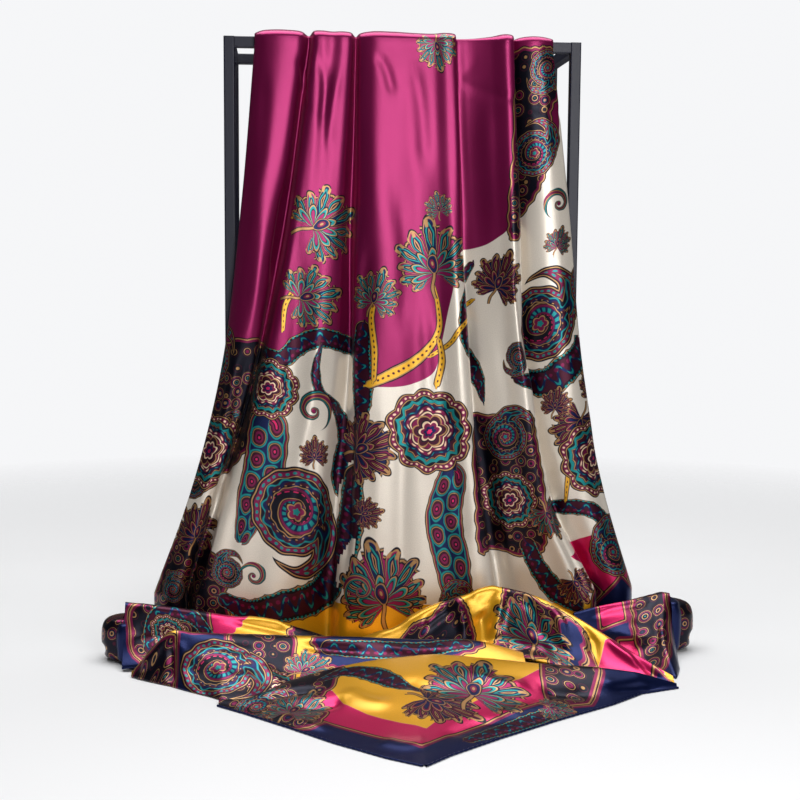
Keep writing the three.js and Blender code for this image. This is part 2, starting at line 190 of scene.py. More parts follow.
@dataclass(frozen=True)
class Area:
    """A plain zone's patch of the flat square.

    Attributes:
        zone: its colour.
        outline: points across and along the diagonal, in mm.
        sharp: whether the outline keeps its corners.
        waves: how many small scallops run round it.
        swell: height of the scallops in mm.
    """

    zone: Zone
    outline: tuple[tuple[float, float], ...]
    sharp: bool = False
    waves: int = 0
    swell: float = 3.0

    def curve(self) -> Array:
        """Gives the closed outline, rounded unless it is sharp."""
        points = np.array(self.outline, float)
        count = len(points)
        if not self.sharp:
            ring_ = np.concatenate([points[-2:], points, points[:3]])
            at = np.linspace(2, 2 + count, count * 9, endpoint=False)
            points = smooth(np.arange(len(ring_)), ring_, at)
        else:
            closed = np.concatenate([points, points[:1]])
            at = np.linspace(0, count, count * 16, endpoint=False)
            points = np.stack([np.interp(at, np.arange(count + 1), closed[:, k]) for k in (0, 1)], -1)
        if self.waves:
            ahead = np.roll(points, -1, axis=0) - np.roll(points, 1, axis=0)
            out = np.stack([ahead[:, 1], -ahead[:, 0]], -1)
            out /= np.linalg.norm(out, axis=1, keepdims=True) + 1e-9
            turn = np.arange(len(points)) / len(points) * math.pi * self.waves
            points = points + out * (np.abs(np.sin(turn))[:, None] * self.swell)
        return points

    def inside(self, flat: Array) -> Array:
        """Measures how far points lie inside the patch, less than nothing outside it.

        Args:
            flat: points of the flat square in metres.

        Returns:
            The signed distances in metres.
        """
        curve = self.curve() * MM
        low, high = curve.min(0) - ZONE_REACH, curve.max(0) + ZONE_REACH
        near = ((flat > low) & (flat < high)).all(-1)
        at = flat[near]
        away = np.full(len(at), np.inf)
        odd = np.zeros(len(at), bool)
        for a, b in zip(curve, np.roll(curve, -1, axis=0)):
            step = b - a
            t = np.clip(((at - a) @ step) / max(step @ step, 1e-12), 0, 1)
            away = np.minimum(away, np.linalg.norm(at - a - t[:, None] * step, axis=1))
            spans = (a[1] > at[:, 1]) != (b[1] > at[:, 1])
            cut = a[0] + (at[:, 1] - a[1]) * step[0] / (step[1] if abs(step[1]) > 1e-12 else 1e-12)
            odd ^= spans & (at[:, 0] < cut)
        out = np.full(flat.shape[:-1], -ZONE_REACH)
        out[near] = np.maximum(np.where(odd, away, -away), -ZONE_REACH)
        return out


@dataclass(frozen=True)
class Crease:
    """A soft ridge or trough along a path on the cloth.

    Attributes:
        path: points in the cloth's flat coordinates, in mm.
        width: distance over which it fades, in mm.
        height: how far it stands up, or sinks where negative, in mm.
    """

    path: tuple[tuple[float, float], ...]
    width: float
    height: float


def near_path(path: Array, at: Array) -> tuple[Array, Array]:
    """Measures how far points are from a path.

    Args:
        path: the path's points, in the same plane as the points.
        at: points, with x and y last.

    Returns:
        The distance from the path, and the share of its length at the nearest place.
    """
    steps = np.linalg.norm(np.diff(path, axis=0), axis=1)
    begun = np.concatenate([[0], np.cumsum(steps)])
    best = np.full(at.shape[:-1], np.inf)
    share = np.zeros(at.shape[:-1])
    for k, (a, b) in enumerate(zip(path[:-1], path[1:])):
        t = np.clip(((at - a) @ (b - a)) / max(steps[k] ** 2, 1e-9), 0, 1)
        away = np.linalg.norm(at - (a + t[..., None] * (b - a)), axis=-1)
        closer = away < best
        best = np.where(closer, away, best)
        share = np.where(closer, (begun[k] + t * steps[k]) / begun[-1], share)
    return best, share


@dataclass
class Cloth:
    """A grid of cloth with its place in the flat square, both in metres.

    Attributes:
        name: the piece's name.
        points: rows by columns by 3.
        flat: rows by columns by 2, across and along the diagonal to the front tip.
        replaces: nodes that the piece stands for.
        outward: roughly where the printed side faces.
    """

    name: str
    points: Array
    flat: Array
    replaces: tuple[str, ...]
    outward: tuple[float, float, float] = (0.0, -1.0, 0.6)

    def normals(self) -> Array:
        """Gives the unit normal at each point of the grid, on the printed side."""
        down = np.gradient(self.points, axis=0)
        across = np.gradient(self.points, axis=1)
        normal = np.cross(down, across)
        normal /= np.linalg.norm(normal, axis=2, keepdims=True) + 1e-12
        return normal * (1.0 if (normal @ np.array(self.outward)).mean() > 0 else -1.0)

    def crease(self, creases: Sequence[Crease]) -> None:
        """Raises and sinks the cloth along its creases, and less near its edges."""
        rows, cols = self.points.shape[:2]
        flat = self.flat / MM
        lift = np.zeros((rows, cols))
        for crease in creases:
            path = np.array(crease.path, float)
            dense = smooth(np.arange(len(path)), path, np.linspace(0, len(path) - 1, 20))
            reach = 3 * crease.width
            near = ((flat > dense.min(0) - reach) & (flat < dense.max(0) + reach)).all(-1)
            away, along = near_path(dense, flat[near])
            ends = np.clip(np.minimum(along, 1 - along) * 5, 0, 1)
            lift[near] += crease.height * np.exp(-((away / crease.width) ** 2)) * (0.2 + 0.8 * ends)
        rim = np.minimum(np.arange(rows), np.arange(rows)[::-1])[:, None] / 9
        side = np.minimum(np.arange(cols), np.arange(cols)[::-1])[None] / 7
        lift *= np.clip(np.minimum(rim, side), 0.1, 1)
        self.points = self.points + self.normals() * (lift * MM)[..., None]

    def make(self, print_: "Print") -> bpy.types.Object:
        """Args:
            print_: the print that dresses each face.

        Returns:
            The finished object.
        """
        rows, cols = self.points.shape[:2]
        index = np.arange(rows * cols).reshape(rows, cols)
        quads = np.stack(
            [index[:-1, :-1], index[1:, :-1], index[1:, 1:], index[:-1, 1:]], -1
        ).reshape(-1, 4)
        mesh = bpy.data.meshes.new(self.name)
        mesh.vertices.add(rows * cols)
        mesh.vertices.foreach_set("co", self.points.astype(np.float32).ravel())
        mesh.loops.add(quads.size)
        mesh.loops.foreach_set("vertex_index", quads.astype(np.int32).ravel())
        mesh.polygons.add(len(quads))
        mesh.polygons.foreach_set("loop_start", np.arange(0, quads.size, 4, dtype=np.int32))
        mesh.polygons.foreach_set("use_smooth", np.ones(len(quads), bool))
        mesh.update(calc_edges=True)
        obj = bpy.data.objects.new(self.name, mesh)
        bpy.context.scene.collection.objects.link(obj)
        flat = self.flat.reshape(-1, 2)
        print_.lay(obj, flat, flat[quads])
        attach(obj, PIECE_BODY)
        if self.replaces:
            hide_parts(*self.replaces)
        log.info("%s: %d faces", self.name, len(quads))
        return obj

    def area(self) -> float:
        """Gives the cloth's area in square metres."""
        a = self.points[1:, 1:] - self.points[:-1, :-1]
        b = self.points[1:, :-1] - self.points[:-1, 1:]
        return float(np.linalg.norm(np.cross(a, b), axis=2).sum() / 2)


# Formulas drawn as shader nodes

Value = Union["Term", float]


@dataclass(frozen=True)
class Term:
    """A value in a node tree, which arithmetic turns into further nodes."""

    chart: "Chart"
    socket: bpy.types.NodeSocket

    def __add__(self, other: Value) -> "Term":
        """Adds."""
        return self.chart.maths("ADD", self, other)

    __radd__ = __add__

    def __sub__(self, other: Value) -> "Term":
        """Takes away."""
        return self.chart.maths("SUBTRACT", self, other)

    def __rsub__(self, other: Value) -> "Term":
        """Takes this away from another value."""
        return self.chart.maths("SUBTRACT", other, self)

    def __mul__(self, other: Value) -> "Term":
        """Multiplies."""
        return self.chart.maths("MULTIPLY", self, other)

    __rmul__ = __mul__

    def __truediv__(self, other: Value) -> "Term":
        """Divides."""
        return self.chart.maths("DIVIDE", self, other)

    def __pow__(self, other: Value) -> "Term":
        """Raises to a power."""
        return self.chart.maths("POWER", self, other)

    def __abs__(self) -> "Term":
        """Drops the sign."""
        return self.chart.maths("ABSOLUTE", self)

    def sin(self) -> "Term":
        """Sine of an angle in radians."""
        return self.chart.maths("SINE", self)

    def cos(self) -> "Term":
        """Cosine of an angle in radians."""
        return self.chart.maths("COSINE", self)

    def fraction(self) -> "Term":
        """Part after the point."""
        return self.chart.maths("FRACT", self)

    def rounded(self) -> "Term":
        """Nearest whole number."""
        return self.chart.maths("ROUND", self)

    def most(self, other: Value) -> "Term":
        """The larger of two values."""
        return self.chart.maths("MAXIMUM", self, other)

    def below(self, edge: Value, soft: float) -> "Term":
        """Mask of 1 where the value is under an edge.

        Args:
            edge: where the mask ends.
            soft: width over which it fades.

        Returns:
            The mask.
        """
        return self.chart.maths("MULTIPLY_ADD", edge - self, 1 / soft, 0.5, clamp=True)

    def near(self, centre: Value, half: float, soft: float) -> "Term":
        """Mask of 1 within a distance of a centre.

        Args:
            centre: middle of the band.
            half: half its width.
            soft: width over which it fades.

        Returns:
            The mask.
        """
        return abs(self - centre).below(half, soft)


class Chart:
    """Draws formulas and colour layers as nodes in one node tree."""

    def __init__(self, tree: bpy.types.NodeTree) -> None:
        """Takes the tree to draw in."""
        self.tree = tree

    def node(self, kind: str, **settings: object) -> bpy.types.Node:
        """Adds a node with its settings."""
        node = self.tree.nodes.new(kind)
        for name, value in settings.items():
            setattr(node, name, value)
        return node

    def feed(self, socket: bpy.types.NodeSocket, value: object) -> None:
        """Links a term, or sets a constant, on a socket."""
        if isinstance(value, Term):
            self.tree.links.new(value.socket, socket)
        elif isinstance(value, bpy.types.NodeSocket):
            self.tree.links.new(value, socket)
        elif isinstance(value, Dye):
            socket.default_value = (*value.value, 1.0)
        else:
            socket.default_value = value

    def maths(self, operation: str, *values: Value, clamp: bool = False) -> Term:
        """Adds a Math node.

        Args:
            operation: Blender's name for it.
            values: its inputs in order.
            clamp: whether the result is held from 0 to 1.

        Returns:
            Its result.
        """
        node = self.node("ShaderNodeMath", operation=operation, use_clamp=clamp)
        for socket, value in zip(node.inputs, values):
            self.feed(socket, value)
        return Term(self, node.outputs[0])

    def angle(self, y: Term, x: Term) -> Term:
        """Angle of a point about the origin."""
        return self.maths("ARCTAN2", y, x)

    def radius(self, x: Term, y: Term) -> Term:
        """Distance of a point from the origin."""
        return self.maths("SQRT", x * x + y * y)

    def over(self, below: object, above: object, mask: Value) -> bpy.types.NodeSocket:
        """Lays one colour over another.

        Args:
            below: colour socket or dye underneath.
            above: colour socket or dye on top.
            mask: where the top one shows.

        Returns:
            The mixed colour's socket.
        """
        mix = self.node("ShaderNodeMix", data_type="RGBA")
        self.feed(mix.inputs["Factor"], mask)
        self.feed(mix.inputs[6], below)
        self.feed(mix.inputs[7], above)
        return mix.outputs[2]

    def split(self, vector: bpy.types.NodeSocket) -> tuple[Term, Term]:
        """Takes the first two parts of a vector."""
        parts = self.node("ShaderNodeSeparateXYZ")
        self.feed(parts.inputs[0], vector)
        return Term(self, parts.outputs[0]), Term(self, parts.outputs[1])


def group(name: str, takes: dict[str, str], gives: dict[str, str]) -> tuple[Chart, dict, dict]:
    """Starts a shader node group with named sockets.

    Args:
        name: the group's name.
        takes: inputs, each a name and a socket type.
        gives: outputs, each a name and a socket type.

    Returns:
        The chart to draw in, the input sockets and the output sockets by name.
    """
    tree = bpy.data.node_groups.new(name, "ShaderNodeTree")
    for title, kind in takes.items():
        tree.interface.new_socket(title, in_out="INPUT", socket_type=kind)
    for title, kind in gives.items():
        tree.interface.new_socket(title, in_out="OUTPUT", socket_type=kind)
    inner = tree.nodes.new("NodeGroupInput")
    outer = tree.nodes.new("NodeGroupOutput")
    return Chart(tree), dict(inner.outputs.items()), dict(outer.inputs.items())


VECTOR = "NodeSocketVector"
COLOUR = "NodeSocketColor"
FLOAT = "NodeSocketFloat"
PLACE = {"Place": VECTOR}
FIGURE = {"Colour": COLOUR, "Mask": FLOAT}


def ring(chart: Chart, colour: object, at: Term, rings: Sequence[tuple], soft: float) -> object:
    """Lays bands of dye from the outside in.

    Args:
        chart: where to draw.
        colour: colour to start with.
        at: value that falls towards the inside.
        rings: outer edge and dye of each band.
        soft: width over which the edges fade.

    Returns:
        The colour with all the bands.
    """
    for edge, dye in rings:
        colour = chart.over(colour, dye, at.below(edge, soft))
    return colour


def beads(chart: Chart, turn: Term, count: int, across: Term, half: float) -> Term:
    """Mask of a row of round beads.

    Args:
        chart: where to draw.
        turn: position along the row, in turns.
        count: beads a turn.
        across: signed distance across the row, where 1 is a bead's spacing.
        half: radius of a bead, as a share of the spacing.

    Returns:
        The mask.
    """
    along = (turn * count).fraction() - 0.5
    return chart.radius(along, across).below(half, 0.15)


def sketch(chart: Chart, took: dict, wander: float, scale: float) -> tuple[Term, Term]:
    """Splits a figure's coordinates and lets them wander slightly, as if drawn by hand.

    Args:
        chart: where to draw.
        took: the group's inputs.
        wander: how far a line may stray.
        scale: how often it strays.

    Returns:
        The two coordinates.
    """
    noise = chart.node("ShaderNodeTexNoise")
    chart.feed(noise.inputs["Vector"], took["Place"])
    noise.inputs["Scale"].default_value = scale
    noise.inputs["Detail"].default_value = 1.0
    x, y = chart.split(took["Place"])
    u, v = chart.split(noise.outputs["Color"])
    return x + (u - 0.5) * wander, y + (v - 0.5) * wander


def draw_medallion() -> bpy.types.NodeTree:
    """Draws a scalloped round medallion with beads, a toothed ring and a flower."""
    chart, took, gave = group("print_medallion", PLACE, FIGURE)
    x, y = sketch(chart, took, 0.20, 1.9)
    r, a = chart.radius(x, y), chart.angle(y, x)
    g = r / (0.86 + abs((a * 5.5).cos()) * 0.09 + (a * 2 + 1.0).cos() * 0.03)
    colour = ring(chart, Dye.INK, g, [
        (0.97, Dye.TAN), (0.945, Dye.INK), (0.925, Dye.PLUM), (0.84, Dye.INK), (0.825, Dye.TAN),
        (0.805, Dye.INK),
    ], 0.012)
    colour = chart.over(colour, Dye.PEACH, beads(chart, a / math.tau, 46, (g - 0.88) * 10, 0.24))
    tooth = g + abs((a * 9).sin()) * 0.075
    colour = ring(chart, colour, tooth, [
        (0.80, Dye.TEAL), (0.715, Dye.INK), (0.70, Dye.TAN), (0.68, Dye.MAROON), (0.60, Dye.INK),
    ], 0.012)
    wave = r / (0.50 + abs((a * 3.5).cos()) * 0.10)
    colour = ring(chart, colour, wave, [
        (0.98, Dye.NAVY), (0.88, Dye.INK), (0.85, Dye.PLUM), (0.74, Dye.INK), (0.71, Dye.PEACH),
        (0.66, Dye.INK), (0.63, Dye.PLUM),
    ], 0.016)
    colour = chart.over(colour, Dye.TEAL, beads(chart, a / math.tau, 20, (wave - 0.93) * 12, 0.24))
    colour = chart.over(colour, Dye.PEACH, beads(chart, a / math.tau, 14, (wave - 0.79) * 9, 0.26))
    flame = r / (0.25 + abs((a * 3).cos()) * 0.11)
    colour = ring(chart, colour, flame, [
        (1.06, Dye.TAN), (0.96, Dye.MAROON), (0.74, Dye.INK), (0.66, Dye.PEACH),
        (0.54, Dye.PLUM), (0.34, Dye.NAVY), (0.16, Dye.PINK),
    ], 0.03)
    chart.feed(gave["Colour"], colour)
    chart.feed(gave["Mask"], g.below(1.0, 0.012))
    return chart.tree


def draw_paisley() -> bpy.types.NodeTree:
    """Draws a curled paisley with a beaded rim, wavy filling and a spiral heart."""
    chart, took, gave = group("print_paisley", PLACE, FIGURE)
    x, y = sketch(chart, took, 0.10, 2.1)
    bx, by = x + 0.08, y + 0.26
    r, a = chart.radius(bx, by), chart.angle(by, bx)
    body = 0.62 - r
    bend = (chart.angle(y - 0.10, x - 0.10) - 0.3) / 2.84
    tail = bend * 0.26 + 0.03 - abs(chart.radius(x - 0.10, y - 0.10) - 0.42)
    deep = body.most(tail)
    g = 1 - deep / 0.62 + (a * 13).cos() * 0.012
    colour = ring(chart, Dye.INK, g, [
        (0.96, Dye.TAN), (0.935, Dye.INK), (0.90, Dye.PLUM),
        (0.80, Dye.INK), (0.785, Dye.TAN), (0.765, Dye.INK),
    ], 0.014)
    colour = chart.over(colour, Dye.TEAL, beads(chart, a / math.tau, 34, (g - 0.85) * 9, 0.27))
    ripple = (g - 0.66) + (a * 11).sin() * 0.040
    colour = chart.over(colour, Dye.NAVY, ripple.near(0.0, 0.075, 0.014))
    colour = chart.over(colour, Dye.TEAL, ripple.near(0.045, 0.020, 0.014))
    colour = chart.over(colour, Dye.MAROON, beads(chart, a / math.tau + 0.02, 12, (g - 0.64) * 9, 0.34))
    colour = chart.over(colour, Dye.TAN, beads(chart, a / math.tau + 0.06, 24, (g - 0.60) * 14, 0.16))
    colour = ring(chart, colour, g, [(0.56, Dye.TAN), (0.54, Dye.INK)], 0.014)
    coil = (chart.maths("LOGARITHM", r + 0.02, 2.718) * 0.95 - a / math.tau).fraction()
    petals = (a * 15 + r * 22).sin()
    swirl = chart.over(Dye.INK, Dye.PLUM, coil.near(0.5, 0.27, 0.05))
    swirl = chart.over(swirl, Dye.NAVY, coil.near(0.5, 0.17, 0.05))
    swirl = chart.over(swirl, Dye.TEAL, coil.near(0.5, 0.12, 0.06) * petals.below(0.2, 0.4))
    swirl = chart.over(swirl, Dye.TAN, coil.near(0.83, 0.022, 0.03))
    swirl = chart.over(swirl, Dye.PINK, coil.near(0.17, 0.025, 0.03) * petals.below(0.2, 0.5))
    colour = chart.over(colour, swirl, g.below(0.53, 0.014))
    heart = r / (0.10 + abs((a * 2.5).cos()) * 0.05)
    colour = ring(chart, colour, heart, [
        (1.1, Dye.INK), (0.95, Dye.TAN), (0.8, Dye.PLUM), (0.35, Dye.TEAL),
    ], 0.08)
    chart.feed(gave["Colour"], colour)
    chart.feed(gave["Mask"], g.below(1.0, 0.014))
    return chart.tree


def fan(chart: Chart, took: dict, first: Dye, second: Dye, inner: Dye, line: Dye) -> tuple:
    """Draws layered pointed petals over a bud and a stem.

    Args:
        chart: where to draw.
        took: the group's inputs.
        first, second: dyes of the petals by turns.
        inner: dye of the petals' hearts.
        line: dye of the fine lines.

    Returns:
        The colour and the mask.
    """
    x, y = sketch(chart, took, 0.16, 2.3)
    base = y + 0.42
    r, a = chart.radius(x, base), chart.angle(x, base)
    order = (a / 0.44).rounded()
    t = abs(a / 0.44 - order) * 2
    parity = abs((order * (math.pi / 2)).sin())
    reach = 1.36 - abs(order) * 0.11 - parity * 0.10
    f = t ** 1.9 + (r / reach) ** 3.6
    petals = f.below(1.0, 0.05) * abs(order).below(5.5, 0.1)
    back = r / (reach * 0.80 + t * 0.06)
    behind = back.below(1.0, 0.03) * abs(a).below(2.3, 0.05)
    colour = ring(chart, Dye.INK, back, [(0.97, line), (0.935, Dye.INK), (0.90, second)], 0.02)
    odd = ring(chart, Dye.INK, f, [(0.86, line), (0.76, second)], 0.05)
    even = ring(chart, Dye.INK, f, [(0.86, line), (0.76, first)], 0.05)
    colour = chart.over(colour, chart.over(even, odd, parity), petals)
    lens = t * 1.1 + ((r / reach - 0.62) * 3.0) ** 2
    colour = ring(chart, colour, lens, [
        (0.70, Dye.INK), (0.62, inner), (0.42, Dye.INK), (0.34, first), (0.22, line), (0.10, Dye.INK),
    ], 0.06)
    rays = (a * 34).sin().below(-0.2, 0.5) * (r / reach).near(0.86, 0.06, 0.02)
    colour = chart.over(colour, line, rays * petals)
    second_order = (a / 0.62).rounded()
    s = abs(a / 0.62 - second_order) * 2
    low = s ** 1.6 + (r / 0.62) ** 3
    small = low.below(1.0, 0.07) * abs(second_order).below(3.5, 0.1)
    lower = ring(chart, Dye.INK, low, [(0.84, line), (0.70, inner), (0.46, Dye.INK), (0.36, second)], 0.07)
    colour = chart.over(colour, lower, small)
    bud = chart.radius(x * 1.7, base - 0.20)
    colour = ring(chart, colour, bud, [
        (0.25, Dye.INK), (0.225, line), (0.20, Dye.NAVY), (0.13, Dye.INK), (0.11, Dye.PLUM), (0.05, line),
    ], 0.02)
    curve = x - (base * 4).sin() * 0.10
    under = base.below(0.0, 0.02)
    stem = curve.near(0.0, 0.06, 0.02) * under
    colour = chart.over(colour, Dye.INK, stem)
    colour = chart.over(colour, line, curve.near(0.0, 0.035, 0.02) * under)
    return colour, petals.most(small).most(stem).most(behind).most(bud.below(0.25, 0.02))


def draw_palmette() -> bpy.types.NodeTree:
    """Draws the fan in the colours that stand on the magenta field."""
    chart, took, gave = group("print_palmette", PLACE, FIGURE)
    colour, mask = fan(chart, took, Dye.NAVY, Dye.MAGENTA, Dye.TEAL, Dye.TAN)
    chart.feed(gave["Colour"], colour)
    chart.feed(gave["Mask"], mask)
    return chart.tree


def draw_leaves() -> bpy.types.NodeTree:
    """Draws the fan in the dark colours that stand on the pale zone."""
    chart, took, gave = group("print_leaves", PLACE, FIGURE)
    colour, mask = fan(chart, took, Dye.MAROON, Dye.NAVY, Dye.PLUM, Dye.TAN)
    chart.feed(gave["Colour"], colour)
    chart.feed(gave["Mask"], mask)
    return chart.tree


def draw_column() -> bpy.types.NodeTree:
    """Draws a band of horseshoe cells between plain edges, for a ribbon."""
    chart, took, gave = group("print_column", PLACE, FIGURE)
    x, y = sketch(chart, took, 0.16, 1.7)
    edge = abs(x) + (y * 9).cos() * 0.015
    colour = ring(chart, Dye.INK, edge, [
        (0.95, Dye.TAN), (0.90, Dye.PLUM), (0.83, Dye.INK), (0.80, Dye.TEAL), (0.74, Dye.NAVY),
    ], 0.03)
    row = (y - x.below(0.0, 0.001) * 0.5).fraction() - 0.5
    side = abs(x) - 0.40
    cell = chart.radius(side * 1.15, row + side * side * 0.5)
    colour = ring(chart, colour, cell, [
        (0.47, Dye.TEAL), (0.40, Dye.INK), (0.37, Dye.TAN), (0.34, Dye.INK), (0.32, Dye.MAROON),
        (0.23, Dye.PLUM), (0.13, Dye.INK), (0.06, Dye.PINK),
    ], 0.03)
    chart.feed(gave["Colour"], colour)
    chart.feed(gave["Mask"], edge.below(1.0, 0.03))
    return chart.tree


def draw_band() -> bpy.types.NodeTree:
    """Draws a dark scalloped band with beads and small curls, for a ribbon."""
    chart, took, gave = group("print_band", PLACE, FIGURE)
    x, y = sketch(chart, took, 0.16, 1.7)
    edge = abs(x) + abs((y * 4.7).sin()) * 0.10
    colour = ring(chart, Dye.INK, edge, [(0.94, Dye.TAN), (0.88, Dye.INK), (0.70, Dye.MAROON)], 0.04)
    colour = chart.over(colour, Dye.TEAL, beads(chart, y, 5, (abs(x) - 0.79) * 4, 0.30))
    curl = (x * 2.1 + (y * 8.4).sin() * 0.85)
    colour = chart.over(colour, Dye.NAVY, curl.near(0.0, 0.46, 0.08))
    colour = chart.over(colour, Dye.TEAL, curl.near(0.0, 0.17, 0.08) * (y * 16.8).cos().below(0.5, 0.3))
    colour = chart.over(colour, Dye.PLUM, beads(chart, y + 0.25, 3, x * 2.2 - 0.7, 0.26))
    chart.feed(gave["Colour"], colour)
    chart.feed(gave["Mask"], edge.below(1.0, 0.04))
    return chart.tree


def draw_stem() -> bpy.types.NodeTree:
    """Draws a gold stem with dark edges and a row of beads, for a ribbon."""
    chart, took, gave = group("print_stem", PLACE, FIGURE)
    x, y = sketch(chart, took, 0.16, 1.7)
    edge = abs(x)
    colour = ring(chart, Dye.INK, edge, [(0.80, Dye.TAN), (0.62, Dye.GOLD)], 0.08)
    colour = chart.over(colour, Dye.MAROON, beads(chart, y, 2, x * 1.2, 0.24))
    chart.feed(gave["Colour"], colour)
    chart.feed(gave["Mask"], edge.below(1.0, 0.08))
    return chart.tree


def draw_scroll() -> bpy.types.NodeTree:
    """Draws a stem that winds into a spiral with small leaves."""
    chart, took, gave = group("print_scroll", PLACE, FIGURE)
    x, y = sketch(chart, took, 0.10, 2.0)
    r, a = chart.radius(x, y), chart.angle(y, x)
    wind = chart.maths("LOGARITHM", r + 0.015, 2.718) * 0.62 - a / math.tau
    coil = abs(wind.fraction() - 0.5)
    within = r.below(0.95, 0.02)
    colour = chart.over(Dye.INK, Dye.TEAL, coil.below(0.165, 0.03))
    colour = chart.over(colour, Dye.INK, coil.below(0.13, 0.03))
    colour = chart.over(colour, Dye.TAN, coil.below(0.10, 0.03))
    colour = chart.over(colour, Dye.PLUM, coil.below(0.06, 0.03))
    eye = r.below(0.12, 0.03)
    colour = chart.over(colour, Dye.MAGENTA, r.below(0.09, 0.03))
    chart.feed(gave["Colour"], colour)
    chart.feed(gave["Mask"], (coil.below(0.21, 0.03) * within).most(eye))
    return chart.tree


def draw_ground() -> bpy.types.NodeTree:
    """Draws the plain zones from their maps, with fine outlines round the dark ones."""
    chart, took, gave = group(
        "print_ground", {"Place": VECTOR, "First": VECTOR, "Second": VECTOR}, {"Colour": COLOUR}
    )
    first = chart.node("ShaderNodeSeparateXYZ")
    second = chart.node("ShaderNodeSeparateXYZ")
    chart.feed(first.inputs[0], took["First"])
    chart.feed(second.inputs[0], took["Second"])
    depth = [Term(chart, socket) for socket in (*first.outputs, *second.outputs)]
    ripple = chart.node("ShaderNodeTexVoronoi", feature="F1")
    chart.feed(ripple.inputs["Vector"], took["Place"])
    ripple.inputs["Scale"].default_value = 66.0
    ripple.inputs["Randomness"].default_value = 0.55
    away = Term(chart, ripple.outputs["Distance"])
    fine = (away * 34).sin()
    cells = ring(chart, Dye.INK, away, [
        (0.56, Dye.MAROON), (0.49, Dye.TAN), (0.45, Dye.INK), (0.41, Dye.PLUM), (0.32, Dye.NAVY),
        (0.25, Dye.TAN), (0.20, Dye.INK), (0.15, Dye.TEAL), (0.09, Dye.INK),
    ], 0.02)
    cells = chart.over(cells, Dye.INK, fine.below(-0.55, 0.3))
    edge = 0.0005
    colour = chart.over(Dye.CREAM, Dye.GOLD, (0 - depth[0]).below(0, edge))
    colour = chart.over(colour, Dye.PINK, (0 - depth[1]).below(0, edge))
    colour = chart.over(colour, Dye.MAGENTA, (0 - depth[2]).below(0, edge))
    for inner, dye in ((depth[3], Dye.NAVY), (depth[4], cells)):
        colour = chart.over(colour, Dye.INK, (0 - inner).below(0.0010, edge))
        colour = chart.over(colour, Dye.TAN, (0 - inner).below(-0.0002, edge))
        colour = chart.over(colour, Dye.PLUM, (0 - inner).below(-0.0016, edge))
        colour = chart.over(colour, dye, (0 - inner).below(-0.0042, edge))
    colour = chart.over(colour, Dye.CREAM, (0 - depth[5]).below(0, edge))
    chart.feed(gave["Colour"], colour)
    return chart.tree


def draw_weave() -> bpy.types.NodeTree:
    """Draws satin's fine grain: floats, slubs and a slight change of dye and gloss."""
    chart, took, gave = group(
        "satin_weave", {"Place": VECTOR, "Colour": COLOUR},
        {"Colour": COLOUR, "Roughness": FLOAT, "Height": FLOAT, "Lustre": FLOAT, "Coat": FLOAT},
    )
    p, q = chart.split(took["Place"])
    grain = chart.node("ShaderNodeTexNoise")
    chart.feed(grain.inputs["Vector"], took["Place"])
    grain.inputs["Scale"].default_value = 900.0
    grain.inputs["Detail"].default_value = 2.0
    fine = Term(chart, grain.outputs[0])
    broad = chart.node("ShaderNodeTexNoise")
    chart.feed(broad.inputs["Vector"], took["Place"])
    broad.inputs["Scale"].default_value = 22.0
    soft = Term(chart, broad.outputs[0])
    floats = ((p + q) * (math.tau / 0.0011)).sin() * 0.5 + 0.5
    shade = chart.node("ShaderNodeHueSaturation")
    chart.feed(shade.inputs["Value"], fine * 0.32 + soft * 0.06 + 0.81)
    chart.feed(shade.inputs["Color"], took["Colour"])
    chart.feed(gave["Colour"], shade.outputs[0])
    chart.feed(gave["Roughness"], fine * 0.08 + soft * 0.05 + SATIN_ROUGHNESS)
    chart.feed(gave["Height"], fine * 0.7 + floats * 0.3)
    parts = chart.node("ShaderNodeSeparateColor")
    chart.feed(parts.inputs[0], took["Colour"])
    red, green = Term(chart, parts.outputs[0]), Term(chart, parts.outputs[1])
    chart.feed(gave["Lustre"], 0.76 - green * 0.5)
    chart.feed(gave["Coat"], chart.maths("MULTIPLY_ADD", red, 0.6, 0.10, clamp=True))
    return chart.tree


# Half of the flat square's diagonal, in metres
HALF_DIAGONAL = 0.92
SATIN_ROUGHNESS = 0.28


class Figure(Enum):
    """The figures of the print, each with the function that draws it."""

    MEDALLION = (draw_medallion,)
    PAISLEY = (draw_paisley,)
    PALMETTE = (draw_palmette,)
    COLUMN = (draw_column,)
    SCROLL = (draw_scroll,)
    LEAVES = (draw_leaves,)
    BAND = (draw_band,)
    STEM = (draw_stem,)


Drawn = Union[Figure, None]


@dataclass(frozen=True)
class Stamp:
    """One figure placed on the flat square.

    Attributes:
        figure: what is printed.
        at: its middle across and along the diagonal, in metres.
        size: half its width, in metres.
        turn: how far it is turned, in degrees.
        flip: whether it is mirrored.
    """

    figure: Figure
    at: tuple[float, float]
    size: float
    turn: float = 0.0
    flip: bool = False

    def local(self, flat: Array) -> Array:
        """Gives a figure's own coordinates for points of the flat square."""
        turn = math.radians(self.turn)
        away = flat - np.array(self.at)
        x = away[..., 0] * math.cos(turn) + away[..., 1] * math.sin(turn)
        y = -away[..., 0] * math.sin(turn) + away[..., 1] * math.cos(turn)
        side = -1 if self.flip else 1
        return np.stack([side * x, -y], -1) / self.size

    def covers(self, middle: Array) -> Array:
        """Says which face middles lie under the figure."""
        local = np.abs(self.local(middle))
        return np.hypot(local[..., 0], local[..., 1]) < 1.03


